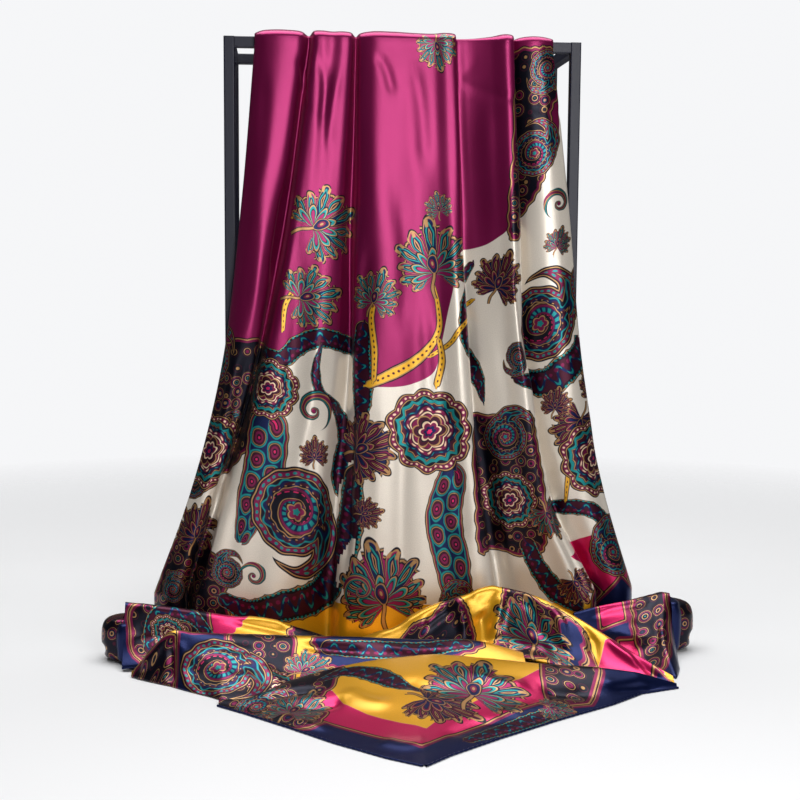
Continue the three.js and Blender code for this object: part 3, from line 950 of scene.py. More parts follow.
@dataclass(frozen=True)
class Ribbon:
    """One figure drawn along a curved path of the flat square.

    Attributes:
        figure: what is printed; its x runs across the path and its y along it.
        path: points across and along the diagonal, in mm.
        widths: half widths at even shares of the path, in mm.
        pitch: length in mm that stands for 1 of the figure's own y.
    """

    figure: Figure
    path: tuple[tuple[float, float], ...]
    widths: tuple[float, ...]
    pitch: float = 20.0

    def measure(self, flat: Array) -> tuple[Array, Array, Array]:
        """Gives distance across, distance along and half width for flat points in mm."""
        points = np.array(self.path, float)
        count = len(points)
        dense = smooth(np.arange(count), points, np.linspace(0, count - 1, 8 * count))
        steps = np.diff(dense, axis=0)
        size = np.linalg.norm(steps, axis=1)
        begun = np.concatenate([[0], np.cumsum(size)])
        best = np.full(flat.shape[:-1], np.inf)
        along = np.zeros(best.shape)
        side = np.ones(best.shape)
        for k, a in enumerate(dense[:-1]):
            away = flat - a
            t = np.clip((away @ steps[k]) / size[k] ** 2, 0, 1)
            reach = np.linalg.norm(away - t[..., None] * steps[k], axis=-1)
            closer = reach < best
            best = np.where(closer, reach, best)
            along = np.where(closer, begun[k] + t * size[k], along)
            turn = steps[k][0] * away[..., 1] - steps[k][1] * away[..., 0]
            side = np.where(closer, np.sign(turn), side)
        shares = np.linspace(0, begun[-1], len(self.widths))
        return side * best, along, np.interp(along, shares, self.widths)

    def local(self, flat: Array) -> Array:
        """Gives the figure's own coordinates for points of the flat square."""
        across, along, half = self.measure(flat / MM)
        return np.stack([across / half, along / self.pitch], -1)

    def covers(self, middle: Array) -> Array:
        """Says which face middles lie under the figure."""
        across, _, half = self.measure(middle / MM)
        return np.abs(across) < half + 2.2


def paint(depth: Array, zone: Zone, inside: Array) -> None:
    """Lays a patch over the zones that lie there already.

    Args:
        depth: how far each point lies inside each zone, which this changes.
        zone: the patch's zone.
        inside: how far each point lies inside the patch.
    """
    own = np.maximum(depth[:, zone.value], inside)
    depth[:] = np.minimum(depth, -inside[:, None])
    depth[:, zone.value] = own


@dataclass
class Print:
    """The scarf's print: ground, figures and the satin it is printed on."""

    stamps: dict[str, list[Union[Stamp, Ribbon]]]
    areas: dict[str, list[Area]]
    grounds: dict[str, Zone]
    groups: dict = field(default_factory=dict)
    finishes: dict = field(default_factory=dict)

    def build(self) -> None:
        """Draws the groups of the ground, the satin and each figure."""
        self.groups = {"ground": draw_ground(), "weave": draw_weave()}
        for figure in Figure:
            self.groups[figure] = figure.value[0]()

    def finish(self, under: Drawn, over: Drawn) -> bpy.types.Material:
        """Gives the satin printed with the ground and up to two figures, made once.

        Args:
            under: the lower figure, or None.
            over: the upper figure, or None.

        Returns:
            The material.
        """
        if (under, over) in self.finishes:
            return self.finishes[under, over]
        names = [figure.name.lower() for figure in (under, over) if figure]
        material = bpy.data.materials.new("_".join(["printed_silk", *(names or ["ground"])]))
        self.finishes[under, over] = material
        material.use_nodes = True
        chart = Chart(material.node_tree)
        shader = chart.tree.nodes["Principled BSDF"]
        flat = chart.node("ShaderNodeUVMap", uv_map="flat").outputs[0]
        zones = chart.node("ShaderNodeGroup", node_tree=self.groups["ground"])
        chart.feed(zones.inputs["Place"], flat)
        for name, socket in zip(ZONE_MAPS, ("First", "Second")):
            read = chart.node("ShaderNodeAttribute", attribute_name=name)
            chart.feed(zones.inputs[socket], read.outputs["Vector"])
        colour = zones.outputs["Colour"]
        for layer, figure in (("under", under), ("over", over)):
            if figure:
                drawn = chart.node("ShaderNodeGroup", node_tree=self.groups[figure])
                own = chart.node("ShaderNodeUVMap", uv_map=layer).outputs[0]
                chart.feed(drawn.inputs["Place"], own)
                colour = chart.over(colour, drawn.outputs["Colour"], Term(chart, drawn.outputs["Mask"]))
        satin = chart.node("ShaderNodeGroup", node_tree=self.groups["weave"])
        chart.feed(satin.inputs["Place"], flat)
        chart.feed(satin.inputs["Colour"], colour)
        bump = chart.node("ShaderNodeBump")
        bump.inputs["Strength"].default_value = 0.28
        bump.inputs["Distance"].default_value = 0.0002
        chart.feed(bump.inputs["Height"], satin.outputs["Height"])
        chart.feed(shader.inputs["Base Color"], satin.outputs["Colour"])
        chart.feed(shader.inputs["Roughness"], satin.outputs["Roughness"])
        chart.feed(shader.inputs["Metallic"], satin.outputs["Lustre"])
        chart.feed(shader.inputs["Coat Weight"], satin.outputs["Coat"])
        chart.feed(shader.inputs["Normal"], bump.outputs[0])
        shader.inputs["Specular IOR Level"].default_value = 0.5
        shader.inputs["Coat Roughness"].default_value = 0.30
        shader.inputs["Sheen Weight"].default_value = 0.02
        shader.inputs["Sheen Roughness"].default_value = 0.4
        return material

    def zone_maps(self, name: str, flat: Array) -> Array:
        """Measures how far each point lies inside each plain zone.

        Args:
            name: the cloth's name.
            flat: the points' places in the flat square.

        Returns:
            A row of six depths in metres for each point.
        """
        depth = np.full((len(flat), len(Zone)), -ZONE_REACH)
        ground = Zone.NAVY if name.startswith("silk_hem") else self.grounds.get(name)
        if ground:
            depth[:, ground.value] = ZONE_REACH
        border = (HALF_DIAGONAL - np.abs(flat).sum(1)) / math.sqrt(2)
        for zone, reach in BORDER_BANDS.get(name, ()):
            paint(depth, zone, np.clip(reach * MM - border, -ZONE_REACH, ZONE_REACH))
        for area in self.areas.get(name, []):
            paint(depth, area.zone, area.inside(flat))
        return depth

    def lay(self, obj: bpy.types.Object, flat: Array, corners: Array) -> None:
        """Gives an object its maps and puts each face in the right material.

        Args:
            obj: the cloth.
            flat: each point's place in the flat square.
            corners: the same for each face, by 4 by 2.
        """
        mesh = obj.data
        depth = self.zone_maps(obj.name, flat)
        for k, name in enumerate(ZONE_MAPS):
            layer = mesh.attributes.new(name, "FLOAT_VECTOR", "POINT")
            layer.data.foreach_set("vector", depth[:, 3 * k:3 * k + 3].astype(np.float32).ravel())
        middles = corners.mean(1)
        over, under = corners.copy(), corners.copy()
        figures: list = [None, *Figure]
        top = np.zeros(len(corners), np.int32)
        low = np.zeros(len(corners), np.int32)
        for stamp in self.stamps.get(obj.name, []):
            hit = stamp.covers(middles)
            under[hit], low[hit] = over[hit], top[hit]
            over[hit], top[hit] = stamp.local(corners[hit]), figures.index(stamp.figure)
        for name, values in (("flat", corners), ("under", under), ("over", over)):
            layer = mesh.uv_layers.new(name=name)
            layer.uv.foreach_set("vector", values.astype(np.float32).ravel())
        pairs, which = np.unique(low * len(figures) + top, return_inverse=True)
        for pair in pairs:
            mesh.materials.append(self.finish(figures[pair // len(figures)], figures[pair % len(figures)]))
        mesh.polygons.foreach_set("material_index", which)


# The hanging cloth

# Heights at which FALL_LINES gives x and depth, from the bar down
FALL_LEVELS = (670, 500, 300, 160, 60)

# Lines down the front fall from left to right: x and depth at each level
FALL_LINES = (
    ("left edge", (-166, -181, -207, -244, -281), (5, 8, 10, 12, 15)),
    ("left shoulder", (-158, -173, -199, -237, -275), (13, 18, 21, 23, 26)),
    ("pleat 1 left", (-148, -165, -193, -232, -269), (15.5, 22.5, 26.5, 29, 31.5)),
    ("pleat 1", (-128, -151, -183, -224, -257), (15.5, 23.5, 28.5, 32, 35)),
    ("pleat 1 turn", (-114, -138, -174, -216, -247), (12.5, 18.5, 23, 26, 29)),
    ("valley 1", (-106, -130, -169, -212, -244), (3, 3, 4, 6, 10)),
    ("pleat 2 left", (-100, -121, -158, -200, -231), (14.6, 23, 29, 33, 35)),
    ("pleat 2 ridge", (-92, -110, -142, -179, -206), (15.6, 24.2, 31, 36, 39)),
    ("pleat 2 dip", (-80, -97, -122, -153, -178), (13.8, 22.2, 29, 34, 38)),
    ("pleat 2 second", (-68, -82, -100, -124, -144), (14.4, 21.6, 30, 36, 40)),
    ("pleat 2 right", (-60, -70, -81, -100, -115), (12.5, 17.5, 24, 29, 32)),
    ("valley 2", (-54, -58, -62, -73, -83), (3, 3, 4, 6, 9)),
    ("pleat 3 edge", (-50, -52, -56, -64, -73), (10, 15, 20, 26, 31)),
    ("pleat 3 left", (-38, -38, -41, -46, -52), (15.6, 22.6, 30, 36, 41)),
    ("pleat 3", (-14, -10, -9, -8, -8), (16, 23.4, 30.5, 36.5, 41)),
    ("pleat 3 right", (12, 16, 21, 27, 33), (13.8, 19.8, 25.5, 31.5, 37)),
    ("pleat 3 step", (32, 37, 45, 54, 63), (13.5, 20.5, 27, 33.5, 39)),
    ("pleat 3 crest", (46, 53, 64, 75, 88), (15.5, 24, 34, 41, 45)),
    ("pleat 3 turn", (56, 63, 74, 88, 103), (13, 21, 30, 37, 41)),
    ("valley 3", (57, 64, 76, 91, 109), (4, 4, 5, 7, 10)),
    ("pleat 4 left", (68, 77, 92, 112, 138), (3.2, 6.5, 11, 17, 24)),
    ("pleat 4 rise", (96, 104, 119, 142, 181), (9, 16.5, 25, 32, 38)),
    ("pleat 4 crest", (114, 121, 134, 160, 208), (15.5, 26, 36, 43, 47)),
    ("pleat 4 turn", (121, 128, 142, 170, 220), (13, 22.5, 31, 39, 43)),
    ("valley 4", (121, 128, 143, 172, 222), (3, 4.5, 7, 11, 19)),
    ("pleat 5 left", (129, 139, 156, 186, 232), (8, 12, 16, 21, 27)),
    ("pleat 5", (145, 160, 182, 209, 247), (12, 19, 25, 30, 34)),
    ("right shoulder", (159, 177, 200, 228, 262), (10, 15, 20, 24, 29)),
    ("right edge", (167, 187, 209, 237, 268), (5, 8, 10, 12, 16)),
)
WING_WIDTH = 122
WING_DEPTH = 1.0


def wing_line(edge: float, depth: float, way: int) -> list[tuple[float, float]]:
    """Runs one level of a wing, from the front panel's edge round to the wing's own.

    Args:
        edge: x of the front panel's edge in mm.
        depth: the depth there in mm.
        way: 1 where the wing reaches to the right behind the panel, -1 to the left.

    Returns:
        Its points of x and depth in mm.
    """
    turned = WING_DEPTH + 0.25 * (depth - WING_DEPTH)
    return [
        (edge + 3.0 * way, depth - 2.6), (edge + 14 * way, turned),
        (edge + 60 * way, WING_DEPTH), (edge + WING_WIDTH * way, WING_DEPTH),
    ]


@dataclass
class FrontFall:
    """The front fall with its turn over the bar and its wings turned in behind.

    Attributes:
        step: spacing of the mesh in mm.
        foot: height of its lowest edge in mm.
        turn_foot: height at which the turn ends behind the bar.
        flat_top: place along the flat diagonal at the bar's top edge, in metres.
    """

    step: float = 2.9
    foot: float = 4.0
    turn_foot: float = 671.0
    flat_top: float = -0.36

    def lines(self, z: Array) -> tuple[Array, Array]:
        """Gives x and depth of each line of the fall at heights z."""
        levels = FALL_LEVELS[::-1]
        xs = np.array([line[1][::-1] for line in FALL_LINES], float).T
        depths = np.array([line[2][::-1] for line in FALL_LINES], float).T
        order = np.arange(xs.shape[1])
        sway = 0.9 * np.sin(z[:, None] / 41 + 1.7 * order)
        swell = 0.7 * np.sin(z[:, None] / 57 + 2.3 * order)
        inner = ((order > 0) & (order < len(order) - 1)) * 1.0
        fade = np.clip((STAND_TOP - z) / 200, 0.15, 1)[:, None]
        x = smooth(levels, xs, z) + sway * inner * fade
        return x, smooth(levels, depths, z) + swell * inner * fade

    def section(self, z: Array, cols: int) -> Array:
        """Runs a smooth curve across all the lines at each height.

        Args:
            z: heights.
            cols: points across.

        Returns:
            Heights by columns by 2: x and depth.
        """
        x, depth = self.lines(z)
        rows = []
        for i in range(len(z)):
            edge_l, edge_r = x[i, 0], x[i, -1]
            left = wing_line(edge_l, depth[i, 0], 1)[::-1]
            right = wing_line(edge_r, depth[i, -1], -1)
            line = np.array(left + list(zip(x[i], depth[i])) + right)
            chord = np.concatenate([[0], np.cumsum(np.hypot(*np.diff(line, axis=0).T) ** 0.75)])
            at = np.linspace(0, chord[-1], 900)
            fine = smooth(chord, line, at)
            walked = np.concatenate([[0], np.cumsum(np.hypot(*np.diff(fine, axis=0).T))])
            marks = np.interp(chord, at, walked)
            rows.append((fine, walked, marks))
        marks = np.mean([row[2] / row[1][-1] for row in rows], axis=0)
        share = np.linspace(0, 1, cols)
        out = []
        for fine, walked, own in rows:
            target = np.interp(share, marks, own)
            out.append(np.stack([np.interp(target, walked, fine[:, k]) for k in (0, 1)], -1))
        return np.array(out)

    def grid(self) -> Cloth:
        """Makes the cloth from the foot of the fall, up and over the bar."""
        z = np.arange(self.foot, STAND_TOP - 8, self.step)
        cols = 300
        across = self.section(z, cols)
        fall = np.concatenate([across, np.broadcast_to(z[:, None, None], (len(z), cols, 1))], 2)
        top = across[-1]
        high = STAND_TOP - 1.5
        rise = 2.2 + 0.5 * np.clip(top[:, 1] - 5, -3.5, 12)
        back = np.clip(top[:, 1], 2.0, None) * 0.8 + 1.5
        rows = [fall]
        for k in range(9):
            angle = math.pi / 2 * k / 8
            depth = -1.5 + (1.5 + top[:, 1]) * math.cos(angle)
            rows.append(np.stack([top[:, 0], depth, high + (1.5 + rise) * math.sin(angle)], -1)[None])
        for k in range(9):
            angle = math.pi / 2 * (1 - k / 8)
            depth = -(BAR - 1.5) - (1.5 + back) * math.cos(angle)
            rows.append(np.stack([top[:, 0], depth, high + (1.5 + rise) * math.sin(angle)], -1)[None])
        rows.append(np.stack([top[:, 0], -BAR - back, np.full(cols, self.turn_foot)], -1)[None])
        points = placed(np.concatenate(rows)[::-1])
        over = lengths(points, 1)
        middle = np.argmin(np.abs(top[:, 0] - 0.0))
        p = over - over[:, middle:middle + 1]
        down = lengths(points, 0)
        bar_row = len(rows) - 1 + 8
        q = self.flat_top + down - down[bar_row]
        return Cloth(
            "silk_front_fall", points, np.stack([p, q], -1),
            ("scarf_front_fall", "scarf_bar_turn", "scarf_left_wing", "scarf_right_wing"),
        )


# The pooled cloth

# Folds of the pool from left to right: x, crest distance in front of the stand, crest
# height, front foot's distance, its height, back foot's distance, its height
BACK_FOLD = (
    (-306, 80, 65, 122, 5, 54, 8), (-204, 80, 50, 122, 14, 54, 12),
    (-134, 80, 38, 120, 13, 56, 12), (-95, 82, 26, 120, 11, 58, 11),
    (-66, 88, 17, 120, 9, 60, 9), (-36, 93, 26, 124, 11, 60, 10),
    (36, 92, 60, 130, 13, 58, 12), (108, 88, 77, 133, 14, 56, 12),
    (150, 105, 67, 168, 14, 80, 11), (179, 125, 54, 190, 12, 106, 9),
    (202, 145, 42, 197, 9, 128, 7), (238, 175, 23, 202, 6, 161, 5),
    (268, 195, 8, 203, 3.5, 187, 4),
)
MIDDLE_FOLD = (
    (-294, 138, 5, 143, 2, 130, 2), (-275, 143, 27, 159, 2, 130, 5),
    (-253, 145, 49, 175, 2, 130, 12), (-227, 145, 48, 198, 2, 130, 14),
    (-197, 145, 46, 225, 2, 130, 14), (-168, 145, 45, 227, 3, 129, 14),
    (-129, 145, 43, 206, 6, 128, 13), (-71, 145, 41, 194, 11, 128, 10),
    (3, 145, 37, 194, 13, 132, 12), (73, 146, 34, 194, 12, 136, 14),
    (118, 150, 22, 194, 9, 140, 12),
)
CORNER_PANEL = (
    (-199, 234, 4, 241, 1.6, 228, 2.2), (-172, 243, 8, 266, 1.6, 230, 3),
    (-129, 225, 19, 310, 1.6, 210, 7), (-89, 216, 27, 353, 1.6, 203, 10),
    (-44, 215, 35, 394, 1.6, 201, 12), (-13, 215, 38, 416, 1.6, 201, 13),
    (12, 215, 40, 391, 1.6, 201, 13), (63, 215, 36, 350, 1.6, 201, 12),
    (124, 215, 29, 305, 1.6, 201, 9), (189, 217, 24, 261, 1.6, 206, 8),
    (226, 213, 17, 229, 1.6, 207, 6), (268, 210, 4.5, 213, 1.6, 207, 3),
)
RIGHT_BAND = (
    (188, 76, 45, 104, 4, 56, 9), (217, 75, 52, 116, 4, 55, 9), (254, 75, 59, 150, 3, 55, 9),
    (276, 75, 64, 182, 2.5, 55, 9), (288, 76, 67, 152, 2.5, 55, 9), (296, 77, 66, 118, 2.5, 56, 9),
)


@dataclass
class PoolFold:
    """One fold of the pool: cloth that rises to a crest and falls to its front foot.

    Attributes:
        name: the piece's name.
        table: the fold's rows, as listed above.
        replaces: the solid that it stands for.
        place: gives flat coordinates in metres from x, the way down and the whole drop, in mm.
        hem: whether the front foot is the square's own edge.
        step: spacing of the mesh in mm.
    """

    name: str
    table: tuple[tuple[float, ...], ...]
    replaces: tuple[str, ...]
    place: Callable[[Array, Array, Array], Array]
    hem: bool = False
    step: float = 2.5

    def grid(self) -> Cloth:
        """Makes the cloth, creased, with its place in the flat square."""
        rows = np.array(self.table, float)
        xs = rows[:, 0]
        cols = int((xs[-1] - xs[0]) / self.step)
        x = np.linspace(xs[0], xs[-1], cols)
        crest, top, _, low, back, rear = smooth(xs, rows[:, 1:], x).T
        front = np.interp(x, xs, rows[:, 3])
        reach = front - crest
        fall = top - low
        knots = [
            (back, rear), (crest - 0.35 * (crest - back), rear + 0.82 * (top - rear)), (crest, top),
            (crest + 0.22 * reach, low + 0.80 * fall), (crest + 0.60 * reach, low + 0.30 * fall),
            (front, low),
        ]
        if not self.hem:
            knots.append((front - 3.0, np.maximum(low - 1.6, 0.6)))
            knots.append((front - 9.0, np.maximum(low - 1.9, 0.6)))
        line = np.array(knots).transpose(0, 2, 1)
        counts = int(np.linalg.norm(np.diff(line, axis=0), axis=2).sum(0).max() / self.step)
        chord = np.arange(len(line), dtype=float)
        fine = smooth(chord, line, np.linspace(0, chord[-1], 400))
        walked = np.concatenate(
            [np.zeros((1, cols)), np.cumsum(np.linalg.norm(np.diff(fine, axis=0), axis=2), axis=0)]
        )
        share = np.linspace(0, 1, counts)
        points = np.empty((counts, cols, 3))
        for c in range(cols):
            at = share * walked[-1, c]
            points[:, c, 0] = x[c]
            points[:, c, 1] = np.interp(at, walked[:, c], fine[:, c, 0])
            points[:, c, 2] = np.interp(at, walked[:, c], fine[:, c, 1])
        down = share[:, None] * walked[-1][None]
        flat = self.place(np.broadcast_to(x, down.shape), down, walked[-1])
        return Cloth(self.name, placed(points), flat, self.replaces)


def back_place(x: Array, down: Array, _: Array) -> Array:
    """Lays the back fold's place in the square."""
    return np.stack([x, 560 + down], -1) * MM


def middle_place(x: Array, down: Array, _: Array) -> Array:
    """Lays the middle fold's place in the square."""
    return np.stack([x, 620 + down], -1) * MM


def corner_place(x: Array, down: Array, whole: Array) -> Array:
    """Lays the corner panel's true place: the tip of the square at its front."""
    across = (x + 13) * np.where(x < -13, 0.97, 0.873)
    return np.stack([across, 920 - np.abs(across) - (whole[None] - down)], -1) * MM


def band_place(x: Array, down: Array, _: Array) -> Array:
    """Lays the right band's place in the square."""
    return np.stack([x, 600 + down], -1) * MM


def pool() -> list[PoolFold]:
    """Lists the folds of the pool from back to front."""
    return [
        PoolFold("silk_back_fold", BACK_FOLD, ("scarf_back_fold",), place=back_place),
        PoolFold("silk_middle_fold", MIDDLE_FOLD, ("scarf_middle_fold",), place=middle_place),
        PoolFold("silk_corner_panel", CORNER_PANEL, ("scarf_corner_panel",), place=corner_place, hem=True),
        PoolFold("silk_right_band", RIGHT_BAND, ("scarf_right_band",), place=band_place),
    ]


@dataclass
class BackFall:
    """The stretch behind the bar: soft cascades that end in the back corner."""

    half: float = 167.0
    corner: float = 120.0
    side_drop: float = 60.0
    pleats: int = 5
    depths: tuple[float, float] = (8.0, 17.0)

    def grid(self) -> Cloth:
        """Makes the cloth from the bar down to its two hems."""
        cols, rows = 134, 150
        x = np.linspace(-self.half, self.half, cols)[None]
        drop = np.linspace(0, 1, rows)[:, None]
        u = np.abs(x) / self.half
        hem = self.corner + (STAND_TOP - 8 - self.side_drop - self.corner) * u
        z = (STAND_TOP - 8.3) + (hem - (STAND_TOP - 8.3)) * drop
        wave = (1 + np.cos(self.pleats * math.pi * (x / self.half + 1))) / 2
        deep = self.depths[0] + (self.depths[1] - self.depths[0]) * drop
        lift = 2.4 + 1.5 + deep * wave
        across = x * (1 - 0.35 * drop * (1 - u))
        y = BAR + lift + 4 * drop
        points = np.stack([across, -y, z], -1)
        spread = 560 * (1 - 0.35 * drop * (1 - u)) * x / self.half
        q = -360 - drop * (560 - np.abs(spread))
        flat = np.stack(np.broadcast_arrays(spread * 0.5 + across * 0.5, q), -1) * MM
        return Cloth("silk_back_fall", placed(points), flat, ("scarf_back_fall",), (0, 1, 0.1))


@dataclass
class RolledEnd:
    """A rounded end of the pool, where the layers turn back behind the folds.

    Attributes:
        name: the piece's name.
        inner: x where it goes in behind the folds.
        outer: x of its outermost point.
        near: distance in front of the stand of its near side.
        far: distance of its far side.
        top: its height.
        replaces: the solid that it stands for.
    """

    name: str
    inner: float
    outer: float
    near: float
    far: float
    top: float
    replaces: str

    def grid(self) -> Cloth:
        """Makes one turned-back layer, rounded at its top and foot."""
        v = np.linspace(-1, 1, 30)[:, None]
        u = np.linspace(-1, 1, 44)[None]
        z = self.top / 2 + 0.5 + (self.top / 2 - 0.8) * np.sin(v * math.pi / 2)
        bulge = np.clip(1 - np.abs(v * 0.99) ** 2.6, 0, 1) ** 0.45
        angle = u * math.pi / 2
        sag = 1 + 0.07 * np.sin(v * 5.1 + u * 2.0) + 0.05 * np.cos(v * 9.0 - u * 3.0)
        reach = (self.outer - self.inner) * bulge * np.cos(angle) ** 0.55 * np.clip(sag, 0, 1.0)
        middle = (self.near + self.far) / 2
        deep = middle + (self.near - self.far) / 2 * (0.35 + 0.65 * bulge) * np.sin(angle)
        x = self.inner + reach
        points = np.stack(np.broadcast_arrays(x, deep, z), -1)
        flat = np.stack(np.broadcast_arrays(u * 45, z), -1) * MM
        return Cloth(
            self.name, placed(points), flat, (self.replaces,) if self.replaces else (), (self.outer, 0, 0),
        )


# The left and right outlines of the layers under the pool, as depth and x in mm
LAYER_LEFT = (
    (1, -281), (52, -285), (57, -300), (114, -300), (121, -262), (144, -228), (158, -165), (214, -118),
)
LAYER_RIGHT = (
    (1, 264), (50, 266), (57, 286), (150, 282), (178, 270), (200, 262), (206, 190), (214, 182),
)
# Each layer's name, height and distance inside the outline, in mm
LAYERS = (("silk_lower_layer", 0.9, 0.5), ("silk_upper_layer", 3.4, 3.0))


@dataclass
class UnderLayers:
    """The layers that lie flat under the folds."""

    def grids(self) -> list[Cloth]:
        """Makes two uneven sheets, one over the other."""
        out = []
        for k, (name, z0, inset) in enumerate(LAYERS):
            deep = np.linspace(1 + inset, 214 - inset, 86)[:, None]
            a = np.interp(deep, *zip(*LAYER_LEFT)) + inset
            b = np.interp(deep, *zip(*LAYER_RIGHT)) - inset
            t = np.linspace(0, 1, 220)[None]
            x = a + (b - a) * t
            z = z0 + 0.4 * np.sin(x / 23 + k * 2) * np.sin(deep / 17 + k)
            points = np.stack(np.broadcast_arrays(x, deep, z), -1)
            flat = np.stack(np.broadcast_arrays(x, 500 + deep), -1) * MM
            out.append(Cloth(name, placed(points), flat, ("scarf_pool_layers",) if k == 0 else ()))
        return out


def hem_lines() -> dict[str, Array]:
    """Gives the lines of the four stretches of rolled hem, in mm."""
    rows = np.array([(row[0], row[3], row[4] - 0.4) for row in CORNER_PANEL])
    tip = 5
    left, right = rows[:tip + 1], rows[tip:]
    drop = BackFall().grid().points[-1]
    stand = (drop - ORIGIN) / MM
    back = np.stack([stand[:, 0], -stand[:, 1], stand[:, 2]], -1)
    half = len(back) // 2
    return {
        "front_left": left + np.array([-0.9, 1.1, 0]), "front_right": right + np.array([0.9, 1.1, 0]),
        "back_left": back[:half + 1], "back_right": back[half:],
    }


def hem_tube(name: str, line: Array) -> Cloth:
    """Rolls a hem along a line, with the slight swell between its hand stitches.

    Args:
        name: the stretch's name.
        line: its points in mm.

    Returns:
        The roll, as cloth.
    """
    steps = np.linalg.norm(np.diff(line, axis=0), axis=1)
    walked = np.concatenate([[0], np.cumsum(steps)])
    at = np.arange(0, walked[-1], 1.6)
    path = np.stack([np.interp(at, walked, line[:, k]) for k in range(3)], -1)
    ahead = np.gradient(path, axis=0)
    ahead /= np.linalg.norm(ahead, axis=1, keepdims=True)
    side = np.cross(ahead, [0, 0, 1.0])
    side /= np.linalg.norm(side, axis=1, keepdims=True)
    over = np.cross(side, ahead)
    radius = 1.05 + 0.14 * np.cos(at / 6.0 * math.tau)
    turn = np.linspace(0, math.tau, 10)
    ringed = (side[:, None] * np.cos(turn)[None, :, None] + over[:, None] * np.sin(turn)[None, :, None])
    points = path[:, None] + ringed * radius[:, None, None]
    flat = np.stack(np.broadcast_arrays(at[:, None] * MM, 0.05 + turn[None] * MM), -1)
    return Cloth(f"silk_hem_{name}", placed(points), flat, (f"scarf_{name}_hem",))


# The design, in the flat coordinates of each stretch of cloth, in mm. The square's own
# border runs in bands along its hem.
BORDER_BANDS = {
    "silk_corner_panel": ((Zone.NAVY, 25.0),),
    "silk_back_fall": (
        (Zone.CREAM, 250.0), (Zone.GOLD, 150.0), (Zone.PINK, 57.0), (Zone.NAVY, 25.0),
    ),
}
GROUNDS = {
    "silk_left_inner_end": Zone.NAVY, "silk_right_inner_end": Zone.NAVY,
    "silk_back_fold": Zone.GOLD, "silk_middle_fold": Zone.GOLD, "silk_corner_panel": Zone.PINK,
    "silk_right_band": Zone.NAVY, "silk_back_fall": Zone.MAGENTA, "silk_left_end": Zone.FILLER,
    "silk_right_end": Zone.FILLER, "silk_lower_layer": Zone.NAVY, "silk_upper_layer": Zone.NAVY,
}
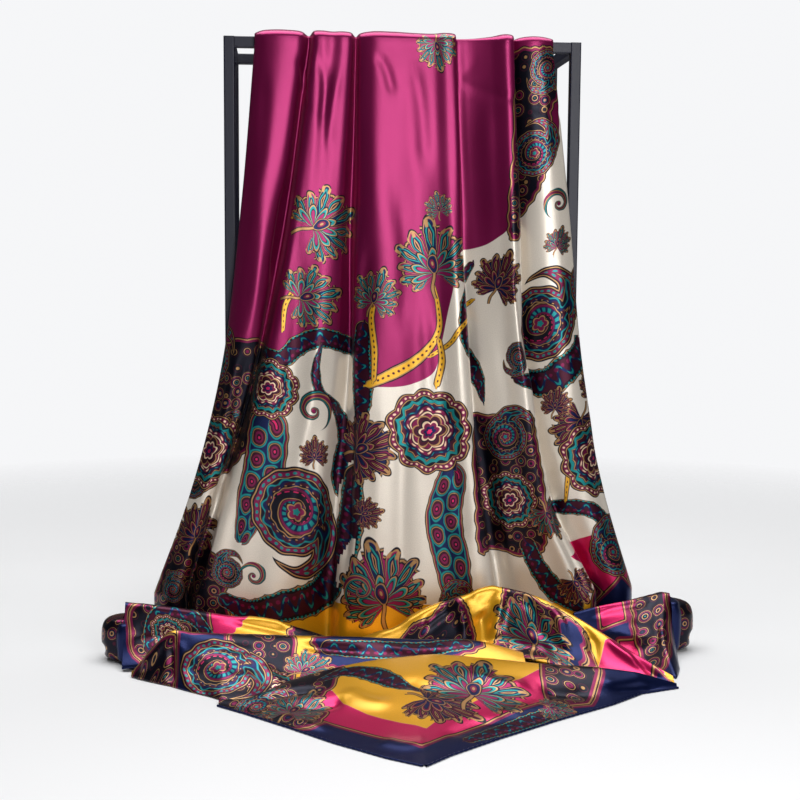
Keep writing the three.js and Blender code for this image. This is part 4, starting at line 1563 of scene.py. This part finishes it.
# The outlines, places and creases below were picked by eye in the photograph, and a scratch script
# turned the picks into coordinates on the flat square.
AREAS = {
    "silk_front_fall": [
        Area(Zone.MAGENTA, ((-600, -440), (-600, -70), (-271, -51), (-246, -56), (-198, -45), (-165, -44),
            (-147, -56), (-121, -63), (-90, -58), (-61, -50), (-48, -12), (-30, -6), (0, -9), (26, -23),
            (34, -52), (42, -87), (50, -119), (54, -154), (70, -158), (90, -160), (108, -165), (123, -174),
            (134, -183), (151, -209), (187, -226), (198, -252), (207, -281), (206, -328), (205, -372),
            (205, -440))),
        Area(Zone.MAGENTA, ((-600, -440), (-600, -120), (10, -120), (40, -180), (90, -200), (185, -300),
            (195, -440)), True),
        Area(Zone.GOLD, ((-700, 238), (-120, 242), (-40, 238), (60, 246), (200, 252), (600, 242),
            (600, 420), (-700, 420)), True),
        Area(Zone.FILLER, ((-279, -44), (-246, -56), (-195, -45), (-185, -31), (-193, 8), (-203, 44),
            (-219, 77), (-256, 102), (-318, 122), (-306, 86), (-298, 36), (-287, -10)), waves=22),
        Area(Zone.FILLER, ((-369, 264), (-358, 234), (-342, 187), (-312, 163), (-270, 188), (-248, 201),
            (-242, 235), (-252, 274)), waves=20),
        Area(Zone.FILLER, ((77, 38), (130, 30), (167, 24), (177, 54), (186, 101), (187, 150), (180, 186),
            (159, 193), (91, 179), (74, 181), (72, 123)), waves=30),
        Area(Zone.FILLER, ((141, -369), (171, -383), (194, -380), (206, -344), (194, -313), (202, -281),
            (192, -241), (177, -209), (143, -171), (134, -197), (136, -270)), waves=30),
        Area(Zone.FILLER, ((281, 198), (298, 187), (324, 206), (342, 253), (334, 300), (252, 301),
            (236, 253)), waves=12),
        Area(Zone.PINK, ((217, 196), (284, 166), (314, 181), (320, 221), (280, 247)), True),
        Area(Zone.NAVY, ((280, 247), (301, 219), (330, 249), (307, 296), (237, 300)), True),
    ],
    "silk_back_fold": [
        Area(Zone.NAVY, ((-330, 520), (-240, 520), (-211, 599), (-205, 617), (-208, 641), (-214, 700),
            (-330, 720)), waves=18),
        Area(Zone.FILLER, ((-293, 622), (-218, 607), (-210, 619), (-215, 643), (-228, 674), (-288, 685)),
            waves=12),
        Area(Zone.PINK, ((-209, 596), (-187, 586), (-176, 594), (-183, 615), (-195, 629), (-210, 641)),
            waves=9),
        Area(Zone.FILLER, ((-130, 612), (-122, 592), (-108, 581), (-93, 581), (-84, 592), (-100, 633),
            (-127, 644)), waves=12),
        # This dark filler patch covers the triangular panel and carries on over the dark hollow beside it
        Area(Zone.FILLER, ((-11, 624), (4, 618), (24, 627), (50, 616), (64, 644), (72, 677), (68, 714),
            (-11, 654)), True, waves=34, swell=1.6),
        Area(Zone.FILLER, ((109, 633), (127, 628), (147, 634), (165, 625), (182, 621), (187, 631),
            (180, 682), (86, 725), (89, 706), (97, 689), (102, 665)), waves=36, swell=2.6),
        Area(Zone.NAVY, ((165, 634), (182, 623), (182, 651), (172, 694), (146, 715), (155, 669)), waves=9),
        Area(Zone.PINK, ((205, 609), (215, 592), (244, 579), (260, 574), (262, 607), (181, 709),
            (192, 663)), True),
        Area(Zone.NAVY, ((250, 577), (285, 587), (286, 622), (240, 655), (242, 621)), True),
    ],
    "silk_middle_fold": [
        Area(Zone.FILLER, ((-301, 650), (-291, 630), (-274, 649), (-256, 661), (-246, 668), (-245, 740),
            (-295, 691)), True),
        Area(Zone.NAVY, ((-246, 661), (-185, 651), (-190, 687), (-206, 697), (-210, 795), (-248, 793)),
            True),
        Area(Zone.FILLER, ((-185, 651), (-127, 656), (-127, 730), (-114, 794), (-210, 795), (-206, 697),
            (-190, 687)), waves=10),
        Area(Zone.NAVY, ((-92, 656), (62, 637), (60, 664), (-16, 687), (-64, 697), (-97, 694), (-99, 675)),
            waves=20),
    ],
    "silk_corner_panel": [
        Area(Zone.GOLD, ((-74, 694), (-75, 744), (-63, 777), (-43, 804), (-14, 833), (7, 851), (25, 824),
            (78, 766), (120, 714), (125, 689), (-75, 679)), True),
        Area(Zone.FILLER, ((122, 690), (117, 728), (115, 789), (129, 773), (155, 756), (166, 729),
            (175, 692), (175, 675)), True),
        Area(Zone.NAVY, ((175, 675), (173, 702), (157, 754), (126, 784), (111, 801), (164, 768), (260, 689),
            (261, 637)), True),
        Area(Zone.FILLER, ((-190, 726), (-103, 699), (-63, 703), (-73, 742), (-87, 762), (-80, 788),
            (-100, 814), (-160, 775)), waves=12),
    ],
    "silk_right_band": [
        Area(Zone.PINK, ((216, 639), (243, 645), (242, 678), (216, 676)), True),
        Area(Zone.PINK, ((232, 699), (263, 716), (247, 737), (232, 717)), True),
        Area(Zone.FILLER, ((259, 646), (288, 661), (283, 727), (263, 763), (252, 738), (252, 684)),
            waves=14),
    ],
}
STAMPS = {
    "silk_front_fall": [
        Ribbon(Figure.BAND, ((-197, -40), (-170, -35), (-151, -50), (-127, -60), (-98, -55), (-62, -44)),
            (9.1, 12.1, 12.1, 10.7), 25),
        Ribbon(Figure.BAND, ((-56, -70), (-59, -35), (-58, 3), (-63, 43)), (10.7, 15.2, 15.2, 9.1), 25),
        Ribbon(Figure.BAND, ((-126, -51), (-133, -25), (-129, 1), (-104, 21), (-86, 58), (-94, 99),
            (-78, 134)), (2.2, 6.1, 6.1, 10.7, 18.2, 18.2, 12.1), 25),
        Ribbon(Figure.COLUMN, ((-188, 43), (-192, 81), (-205, 126), (-221, 171)), (23.6, 23.6, 20.2, 9.0),
            27),
        Ribbon(Figure.COLUMN, ((45, 96), (33, 145), (41, 192), (47, 239)), (16.9, 21.3, 21.3, 16.9), 27),
        Ribbon(Figure.BAND, ((-74, 99), (-80, 145), (-93, 192), (-127, 233), (-174, 245), (-211, 255),
            (-243, 244)), (18.2, 22.7, 24.3, 24.3, 21.2, 18.2, 9.1), 27),
        Ribbon(Figure.BAND, ((92, -142), (70, -104), (72, -58), (103, -17), (112, 12)), (4.6, 12.1, 15.2,
            13.7, 3.0), 25),
        Ribbon(Figure.BAND, ((265, -79), (263, -45), (240, -22), (216, -8), (153, -14)), (10.7, 18.2, 19.8,
            15.2, 6.1), 25),
        Ribbon(Figure.BAND, ((207, 141), (264, 138), (290, 153), (314, 181)), (7.6, 10.7, 10.7, 9.1), 25),
        Ribbon(Figure.BAND, ((163, 181), (172, 206), (190, 235), (217, 256)), (10.7, 12.1, 13.7, 9.1), 25),
        Ribbon(Figure.STEM, ((26, -122), (31, -99), (32, -70), (18, -47), (-5, -29), (-48, -9)), (2.2, 3.4,
            4.5, 6.7, 7.9, 5.6), 13),
        Ribbon(Figure.STEM, ((96, -102), (61, -75), (45, -55), (23, -41)), (2.7, 3.4, 3.4, 2.7), 13),
        Ribbon(Figure.STEM, ((-146, -193), (-130, -199), (-116, -194), (-105, -188)), (2.7, 3.4, 3.4, 2.7),
            13),
        Ribbon(Figure.STEM, ((-167, -67), (-162, -94), (-149, -112), (-133, -115)), (2.2, 3.4, 3.4, 2.2),
            13),
        Ribbon(Figure.STEM, ((-43, -15), (-42, -47), (-45, -81), (-41, -102)), (3.4, 4.5, 4.5, 3.4), 13),
        Ribbon(Figure.STEM, ((245, 129), (250, 93), (256, 75)), (2.2, 3.4, 2.2), 13),
        Ribbon(Figure.STEM, ((29, -9), (35, -35), (32, -58)), (4.5, 4.5, 3.4), 13),
        Stamp(Figure.PALMETTE, (0.035, -0.377), 0.025, 170),
        Stamp(Figure.PALMETTE, (-0.105, -0.188), 0.045, 70),
        Stamp(Figure.PALMETTE, (-0.128, -0.106), 0.038, 80),
        Stamp(Figure.PALMETTE, (0.026, -0.154), 0.047, -6),
        Stamp(Figure.PALMETTE, (-0.038, -0.113), 0.031, 20),
        Stamp(Figure.PALMETTE, (0.033, -0.209), 0.017, -10),
        Stamp(Figure.PAISLEY, (0.181, -0.354), 0.034, 190),
        Stamp(Figure.PAISLEY, (0.182, -0.279), 0.043, 30, flip=True),
        Stamp(Figure.LEAVES, (0.129, -0.13), 0.034, 20),
        Stamp(Figure.SCROLL, (0.213, -0.211), 0.019, 0),
        Stamp(Figure.PALMETTE, (0.218, -0.17), 0.018, 10),
        Stamp(Figure.PAISLEY, (0.213, -0.095), 0.07, 30, flip=True),
        Stamp(Figure.MEDALLION, (-0.187, -0.001), 0.038, 20),
        Stamp(Figure.PAISLEY, (-0.262, 0.047), 0.034, 40),
        Stamp(Figure.SCROLL, (-0.137, 0.022), 0.025, 0, flip=True),
        Stamp(Figure.LEAVES, (-0.136, 0.068), 0.02, 0),
        Stamp(Figure.LEAVES, (-0.05, 0.061), 0.043, 70),
        Stamp(Figure.PAISLEY, (0.149, 0.045), 0.045, 30),
        Stamp(Figure.MEDALLION, (0.145, 0.127), 0.038, 0),
        Stamp(Figure.PAISLEY, (-0.309, 0.095), 0.038, 10),
        Stamp(Figure.LEAVES, (-0.267, 0.059), 0.029, 0),
        Stamp(Figure.MEDALLION, (0.02, 0.044), 0.053, 0),
        Stamp(Figure.PAISLEY, (-0.155, 0.16), 0.083, 150),
        Stamp(Figure.LEAVES, (-0.052, 0.136), 0.02, 80),
        Stamp(Figure.PALMETTE, (-0.043, 0.215), 0.056, -12),
        Stamp(Figure.SCROLL, (-0.065, 0.224), 0.022, 0),
        Stamp(Figure.PAISLEY, (-0.237, 0.205), 0.029, 0),
        Stamp(Figure.SCROLL, (-0.21, 0.214), 0.017, 60),
        Stamp(Figure.LEAVES, (0.258, 0.049), 0.036, 200),
        Stamp(Figure.LEAVES, (0.233, 0.013), 0.02, 10),
        Stamp(Figure.PAISLEY, (0.15, -0.034), 0.027, 200),
        Stamp(Figure.PAISLEY, (0.047, 0.236), 0.034, 0),
        Stamp(Figure.LEAVES, (0.219, 0.236), 0.025, 150),
        Stamp(Figure.PALMETTE, (0.195, 0.15), 0.029, 150),
        Stamp(Figure.SCROLL, (0.314, 0.206), 0.018, 0),
        Stamp(Figure.PAISLEY, (-0.333, 0.229), 0.025, 0),
        Stamp(Figure.MEDALLION, (-0.292, 0.07), 0.049, 0),
        Stamp(Figure.PAISLEY, (-0.286, -0.046), 0.052, 30),
        Stamp(Figure.LEAVES, (-0.3, 0.16), 0.038, 20),
        Stamp(Figure.PALMETTE, (-0.29, -0.21), 0.045, 0),
        Stamp(Figure.PAISLEY, (0.27, -0.11), 0.049, 160),
        Stamp(Figure.LEAVES, (0.3, -0.01), 0.04, 30),
        Stamp(Figure.MEDALLION, (0.284, 0.08), 0.049, 0),
        Stamp(Figure.PAISLEY, (0.3, 0.18), 0.049, 0),
        Stamp(Figure.SCROLL, (0.262, -0.21), 0.027, 0),
    ],
    "silk_back_fold": [
        Ribbon(Figure.BAND, ((-278, 669), (-276, 642), (-263, 624), (-241, 620), (-225, 627), (-213, 642)),
            (7.6, 9.1, 10.7, 9.1, 7.6), 25),
        Stamp(Figure.MEDALLION, (-0.258, 0.646), 0.022, 0),
        Stamp(Figure.PALMETTE, (0.132, 0.67), 0.043, 0),
    ],
    "silk_middle_fold": [
        Stamp(Figure.MEDALLION, (-0.142, 0.733), 0.034, 0),
        Stamp(Figure.PAISLEY, (-0.188, 0.714), 0.063, 110),
        Stamp(Figure.PALMETTE, (-0.107, 0.698), 0.027, 60),
        Ribbon(Figure.BAND, ((-87, 672), (-46, 672), (7, 665), (57, 653)), (10.7, 13.7, 12.1, 9.1), 25),
    ],
    "silk_corner_panel": [
        Ribbon(Figure.BAND, ((-82, 726), (-60, 718), (-34, 735), (-9, 767), (7, 781)), (4.6, 10.7, 13.7,
            10.7, 3.0), 25),
        Ribbon(Figure.BAND, ((40, 867), (67, 842), (95, 814), (133, 773)), (5.6, 9.0, 9.0, 5.6), 22),
        Stamp(Figure.LEAVES, (0.027, 0.807), 0.038, 120),
        Stamp(Figure.PALMETTE, (0.058, 0.763), 0.049, 16),
        Stamp(Figure.PAISLEY, (-0.136, 0.752), 0.038, 30),
        Stamp(Figure.PALMETTE, (-0.105, 0.768), 0.034, 30),
        Stamp(Figure.PALMETTE, (0.126, 0.784), 0.022, 100),
    ],
    "silk_back_fall": [
        Stamp(Figure.MEDALLION, (0.0, -0.56), 0.07, 0),
        Stamp(Figure.PALMETTE, (-0.06, -0.44), 0.045, 0),
        Stamp(Figure.LEAVES, (0.04, -0.7), 0.045, 30),
        Stamp(Figure.PAISLEY, (0.15, -0.47), 0.049, 0),
        Stamp(Figure.PAISLEY, (-0.17, -0.48), 0.049, 160),
        Stamp(Figure.LEAVES, (0.09, -0.6), 0.038, 60),
        Stamp(Figure.PALMETTE, (-0.07, -0.66), 0.04, 10),
        Stamp(Figure.MEDALLION, (0.0, -0.8), 0.034, 0),
    ],
}
CREASES = {
    "silk_front_fall": [
        Crease(((-69, 8), (-77, 67), (-80, 145), (-92, 227)), 9, -7.0),
        Crease(((110, 47), (119, 117), (122, 176), (131, 235)), 10, -7.0),
        Crease(((229, 92), (204, 150), (216, 199), (229, 247)), 8, -6.0),
        Crease(((-264, 99), (-264, 160), (-273, 206), (-283, 248)), 9, -6.0),
        Crease(((-242, -44), (-253, 1), (-265, 59)), 8, -5.0),
        Crease(((144, -148), (158, -92), (171, -25)), 7, -4.5),
        Crease(((43, 55), (51, 111), (56, 169)), 8, -4.0),
        Crease(((-137, 54), (-148, 113), (-157, 168)), 8, -4.0),
        Crease(((-49, -160), (-54, -102), (-57, -47)), 7, -3.5),
        Crease(((-170, -234), (-183, -178), (-196, -122)), 6, -3.5),
        Crease(((-145, -369), (-134, -340), (-127, -307)), 5, -1.6),
        Crease(((-108, -375), (-105, -337), (-111, -290)), 6, -1.4),
        Crease(((-89, -354), (-100, -310), (-106, -267)), 5, 1.2),
        Crease(((-33, -375), (-23, -357), (-15, -328)), 6, -1.2),
        Crease(((7, -369), (15, -314), (18, -247)), 9, 1.6),
        Crease(((-12, -235), (-7, -148), (-12, -58)), 10, -1.6),
        Crease(((14, -105), (19, -15), (23, 87)), 9, 1.8),
        Crease(((-43, 9), (-52, 99), (-58, 189)), 9, -2.0),
        Crease(((-8, 32), (-14, 122), (-21, 224)), 10, 2.0),
        Crease(((-186, -354), (-194, -299), (-206, -235)), 6, -1.2),
        Crease(((-237, -100), (-261, -12), (-281, 82)), 8, 1.8),
        Crease(((-272, 49), (-292, 128), (-313, 201)), 8, -2.2),
        Crease(((-139, -155), (-154, -68), (-173, 36)), 8, -1.6),
        Crease(((-126, -69), (-144, 43), (-163, 146)), 8, 2.0),
        Crease(((104, -325), (109, -238), (120, -148)), 9, 1.2),
        Crease(((131, -69), (145, 33), (159, 127)), 8, -2.0),
        Crease(((223, -159), (244, -57), (262, 34)), 8, 1.8),
        Crease(((282, 49), (291, 129), (297, 203)), 7, -2.0),
        Crease(((228, 45), (245, 129), (232, 216)), 8, 2.2),
        Crease(((-225, 128), (-236, 199), (-248, 250)), 8, -2.2),
        Crease(((32, 99), (37, 169), (41, 239)), 8, -2.0),
        Crease(((86, -369), (93, -337), (315, -293)), 6, -1.0),
        Crease(((170, -372), (182, -305), (193, -238)), 7, -1.4),
    ],
    "silk_back_fold": [
        Crease(((-306, 629), (-258, 621), (-210, 614)), 6, 2.4),
        Crease(((-310, 667), (-268, 649), (-215, 641)), 8, -3.0),
        Crease(((-193, 611), (-157, 610), (-127, 607)), 6, -2.7),
        Crease(((-306, 636), (-306, 655), (-306, 677)), 5, -3.6),
        Crease(((-183, 597), (-160, 598), (-132, 594)), 5, 2.4),
        Crease(((-84, 592), (-49, 582), (-16, 606)), 6, 3.3),
        Crease(((-6, 601), (21, 611), (50, 616)), 7, 3.6),
        Crease(((69, 636), (84, 635), (102, 634)), 7, 3.0),
        Crease(((77, 656), (82, 676), (82, 699)), 11, -9.0),
        Crease(((104, 641), (99, 665), (87, 690)), 6, 5.1),
        Crease(((16, 631), (34, 631), (49, 630)), 8, -5.1),
        Crease(((54, 622), (59, 652), (62, 679)), 5, 3.9),
        Crease(((122, 639), (135, 651), (140, 681)), 9, -3.9),
        Crease(((152, 628), (162, 640), (162, 676)), 7, 4.5),
        Crease(((185, 618), (192, 624), (190, 654)), 6, -4.5),
        Crease(((205, 609), (220, 604), (235, 598)), 6, 3.6),
        Crease(((112, 694), (127, 696), (150, 686)), 9, -3.3),
        Crease(((235, 598), (248, 592), (263, 591)), 5, -2.7),
    ],
    "silk_middle_fold": [
        Crease(((-284, 645), (-269, 661), (-256, 667)), 6, 3.9),
        Crease(((-251, 674), (-251, 691), (-249, 720)), 4, -5.4),
        Crease(((-241, 673), (-238, 693), (-236, 720)), 5, 3.3),
        Crease(((-226, 680), (-195, 676), (-158, 682)), 7, -2.7),
        Crease(((-221, 729), (-195, 759), (-178, 752)), 6, -4.2),
        Crease(((-158, 697), (-142, 719), (-133, 739)), 7, 2.7),
        Crease(((-206, 702), (-188, 717), (-163, 715)), 10, 3.0),
        Crease(((-117, 669), (-87, 674), (-49, 675)), 6, -3.0),
        Crease(((-34, 666), (-3, 667), (40, 662)), 6, 2.4),
    ],
    "silk_corner_panel": [
        Crease(((-139, 748), (-112, 744), (-87, 744)), 6, -3.6),
        Crease(((-105, 768), (-85, 774), (-63, 771)), 8, -3.9),
        Crease(((-65, 753), (-43, 782), (-19, 798)), 9, 2.7),
        Crease(((-9, 759), (16, 782), (43, 778)), 10, -2.7),
        Crease(((54, 746), (78, 756), (104, 747)), 8, 3.0),
        Crease(((113, 752), (137, 747), (159, 734)), 8, -3.3),
        Crease(((170, 719), (192, 709), (219, 691)), 7, 3.0),
        Crease(((-34, 857), (-14, 877), (7, 880)), 9, 2.4),
        Crease(((71, 813), (100, 790), (129, 768)), 8, 2.7),
        Crease(((23, 865), (49, 836), (73, 824)), 7, -2.4),
        Crease(((-127, 774), (-105, 799), (-78, 822)), 7, 2.7),
        Crease(((177, 723), (206, 707), (228, 692)), 5, -3.0),
    ],
    "silk_right_band": [
        Crease(((206, 654), (239, 659), (273, 670)), 6, -3.0),
        Crease(((221, 681), (245, 700), (265, 719)), 7, 3.3),
        Crease(((278, 671), (273, 704), (265, 731)), 5, -3.6),
        Crease(((255, 672), (255, 699), (252, 729)), 6, 3.0),
    ],
}

# The stage


@dataclass(frozen=True)
class View:
    """The camera, in metres from the stand's front plane on the floor."""

    at: tuple[float, float, float] = (-0.135, -1.585, 0.444)
    turn: float = 4.79
    dip: float = 6.02
    roll: float = 0.39
    lens: float = 63.0
    sensor: float = 36.0

    def build(self) -> bpy.types.Object:
        """Adds the camera and makes it the scene's."""
        turn, dip, roll = (math.radians(v) for v in (self.turn, self.dip, self.roll))
        ahead = Vector((math.sin(turn) * math.cos(dip), math.cos(turn) * math.cos(dip), -math.sin(dip)))
        level = Vector((math.cos(turn), -math.sin(turn), 0))
        upright = level.cross(ahead)
        right = math.cos(roll) * level + math.sin(roll) * upright
        up = right.cross(ahead)
        data = bpy.data.cameras.new("view")
        data.lens, data.sensor_width = self.lens, self.sensor
        camera = bpy.data.objects.new("view", data)
        axes = Matrix((right, up, -ahead)).transposed().to_4x4()
        camera.matrix_world = Matrix.Translation(Vector(self.at) + Vector(ORIGIN)) @ axes
        bpy.context.scene.collection.objects.link(camera)
        bpy.context.scene.camera = camera
        return camera


@dataclass(frozen=True)
class Lamp:
    """A soft rectangular studio lamp, in metres from the stand's front plane."""

    name: str
    at: tuple[float, float, float]
    aim: tuple[float, float, float]
    size: tuple[float, float]
    watts: float
    spread: float = 180.0

    def build(self) -> None:
        """Adds the lamp, turned to its aim."""
        data = bpy.data.lights.new(self.name, "AREA")
        data.shape = "RECTANGLE"
        data.size, data.size_y = self.size
        data.energy = self.watts
        data.spread = math.radians(self.spread)
        lamp = bpy.data.objects.new(self.name, data)
        lamp.location = Vector(self.at) + Vector(ORIGIN)
        away = Vector(self.aim) - Vector(self.at)
        lamp.rotation_euler = away.to_track_quat("-Z", "Y").to_euler()
        bpy.context.scene.collection.objects.link(lamp)


@dataclass
class Studio:
    """Floor, lamps and surroundings."""

    lamps: tuple[Lamp, ...] = (
        Lamp("key", (0.34, -1.62, 0.78), (0.05, 0, 0.45), (0.72, 0.95), 11.5),
        Lamp("top", (0.0, 0.15, 1.95), (0, 0.15, 0.0), (2.4, 1.5), 52.0),
        Lamp("apron", (0.1, -1.75, 1.5), (0.1, -1.75, 0.0), (2.2, 1.0), 13.0, 60.0),
    )
    surround: float = 0.05
    backdrop: float = 0.94
    floor_reach: float = 3.2

    def build(self) -> None:
        """Adds the lamps, the surroundings and the floor."""
        for lamp in self.lamps:
            lamp.build()
        scene = bpy.context.scene
        scene.view_settings.view_transform = "Standard"
        world = bpy.data.worlds.new("studio")
        world.use_nodes = True
        scene.world = world
        chart = Chart(world.node_tree)
        plain = chart.tree.nodes["Background"]
        plain.inputs[0].default_value = (1, 1, 1, 1)
        plain.inputs[1].default_value = self.surround
        seen = chart.node("ShaderNodeBackground")
        seen.inputs[0].default_value = (0.98, 0.985, 1, 1)
        seen.inputs[1].default_value = self.backdrop
        path = chart.node("ShaderNodeLightPath")
        pick = chart.node("ShaderNodeMixShader")
        chart.feed(pick.inputs[0], path.outputs["Is Camera Ray"])
        chart.feed(pick.inputs[1], plain.outputs[0])
        chart.feed(pick.inputs[2], seen.outputs[0])
        chart.feed(chart.tree.nodes["World Output"].inputs[0], pick.outputs[0])
        self.floor()

    def floor(self) -> None:
        """Lays a plain pale floor that fades into the surroundings."""
        bpy.ops.object.select_all(action="DESELECT")
        bpy.ops.mesh.primitive_circle_add(
            vertices=96, radius=self.floor_reach, fill_type="NGON", location=(0, 0, 0)
        )
        floor = bpy.context.object
        floor.name = "studio_floor"
        material = bpy.data.materials.new("studio_floor")
        material.use_nodes = True
        chart = Chart(material.node_tree)
        shader = chart.tree.nodes["Principled BSDF"]
        shader.inputs["Base Color"].default_value = (0.86, 0.865, 0.875, 1)
        shader.inputs["Roughness"].default_value = 0.6
        place = chart.node("ShaderNodeTexCoord").outputs["Object"]
        x, y = chart.split(place)
        edge = (chart.radius(x, y + 0.15) - 0.85) / 0.95
        chart.feed(shader.inputs["Alpha"], edge.below(0.5, 1.0))
        floor.data.materials.append(material)


def finish_stand() -> None:
    """Gives the stand's tubes a satin black coat with a fine grain."""
    material = bpy.data.materials.new("black_steel")
    material.use_nodes = True
    chart = Chart(material.node_tree)
    shader = chart.tree.nodes["Principled BSDF"]
    noise = chart.node("ShaderNodeTexNoise")
    chart.feed(noise.inputs["Vector"], chart.node("ShaderNodeTexCoord").outputs["Object"])
    noise.inputs["Scale"].default_value = 700
    fine = Term(chart, noise.outputs[0])
    chart.feed(shader.inputs["Roughness"], fine * 0.15 + 0.34)
    chart.feed(shader.inputs["Base Color"], chart.over(Dye.INK, Dye.NAVY, fine * 0.25))
    bump = chart.node("ShaderNodeBump")
    bump.inputs["Strength"].default_value = 0.2
    bump.inputs["Distance"].default_value = 0.0003
    chart.feed(bump.inputs["Height"], fine)
    chart.feed(shader.inputs["Normal"], bump.outputs[0])
    for name in frame["nodes"]:
        if name.startswith("stand_"):
            obj = bpy.data.objects[name]
            obj.data.materials.clear()
            obj.data.materials.append(material)


def main() -> None:
    """Builds the camera, the stage, the stand's finish and every stretch of the scarf."""
    logging.basicConfig(level=logging.INFO, format="%(message)s")
    View().build()
    Studio().build()
    finish_stand()
    print_ = Print(STAMPS, AREAS, GROUNDS)
    print_.build()
    cloths = {"silk_front_fall": FrontFall().grid(), "silk_back_fall": BackFall().grid()}
    for fold in pool():
        cloths[fold.name] = fold.grid()
    for layer in UnderLayers().grids():
        cloths[layer.name] = layer
    for end in (
        RolledEnd("silk_left_end", -304, -333, 92, 52, 48, "scarf_left_folded_end"),
        RolledEnd("silk_left_inner_end", -304, -317, 100, 58, 45, ""),
        RolledEnd("silk_right_end", 294, 326, 88, 46, 56, "scarf_right_folded_end"),
        RolledEnd("silk_right_inner_end", 294, 309, 97, 56, 60, ""),
    ):
        cloths[end.name] = end.grid()
    for name, cloth in cloths.items():
        cloth.crease(CREASES.get(name, []))
    hems = {name: hem_tube(name, line) for name, line in hem_lines().items()}
    pieces = {name: cloth.make(print_) for name, cloth in {**cloths, **hems}.items()}
    for name, obj in pieces.items():
        if name in hems:
            continue
        area = cloths[name].area()
        ["stand_top_front_bar"] if "fall" in name else ["scarf_pool_layers"]


if __name__ == "__main__":
    main()
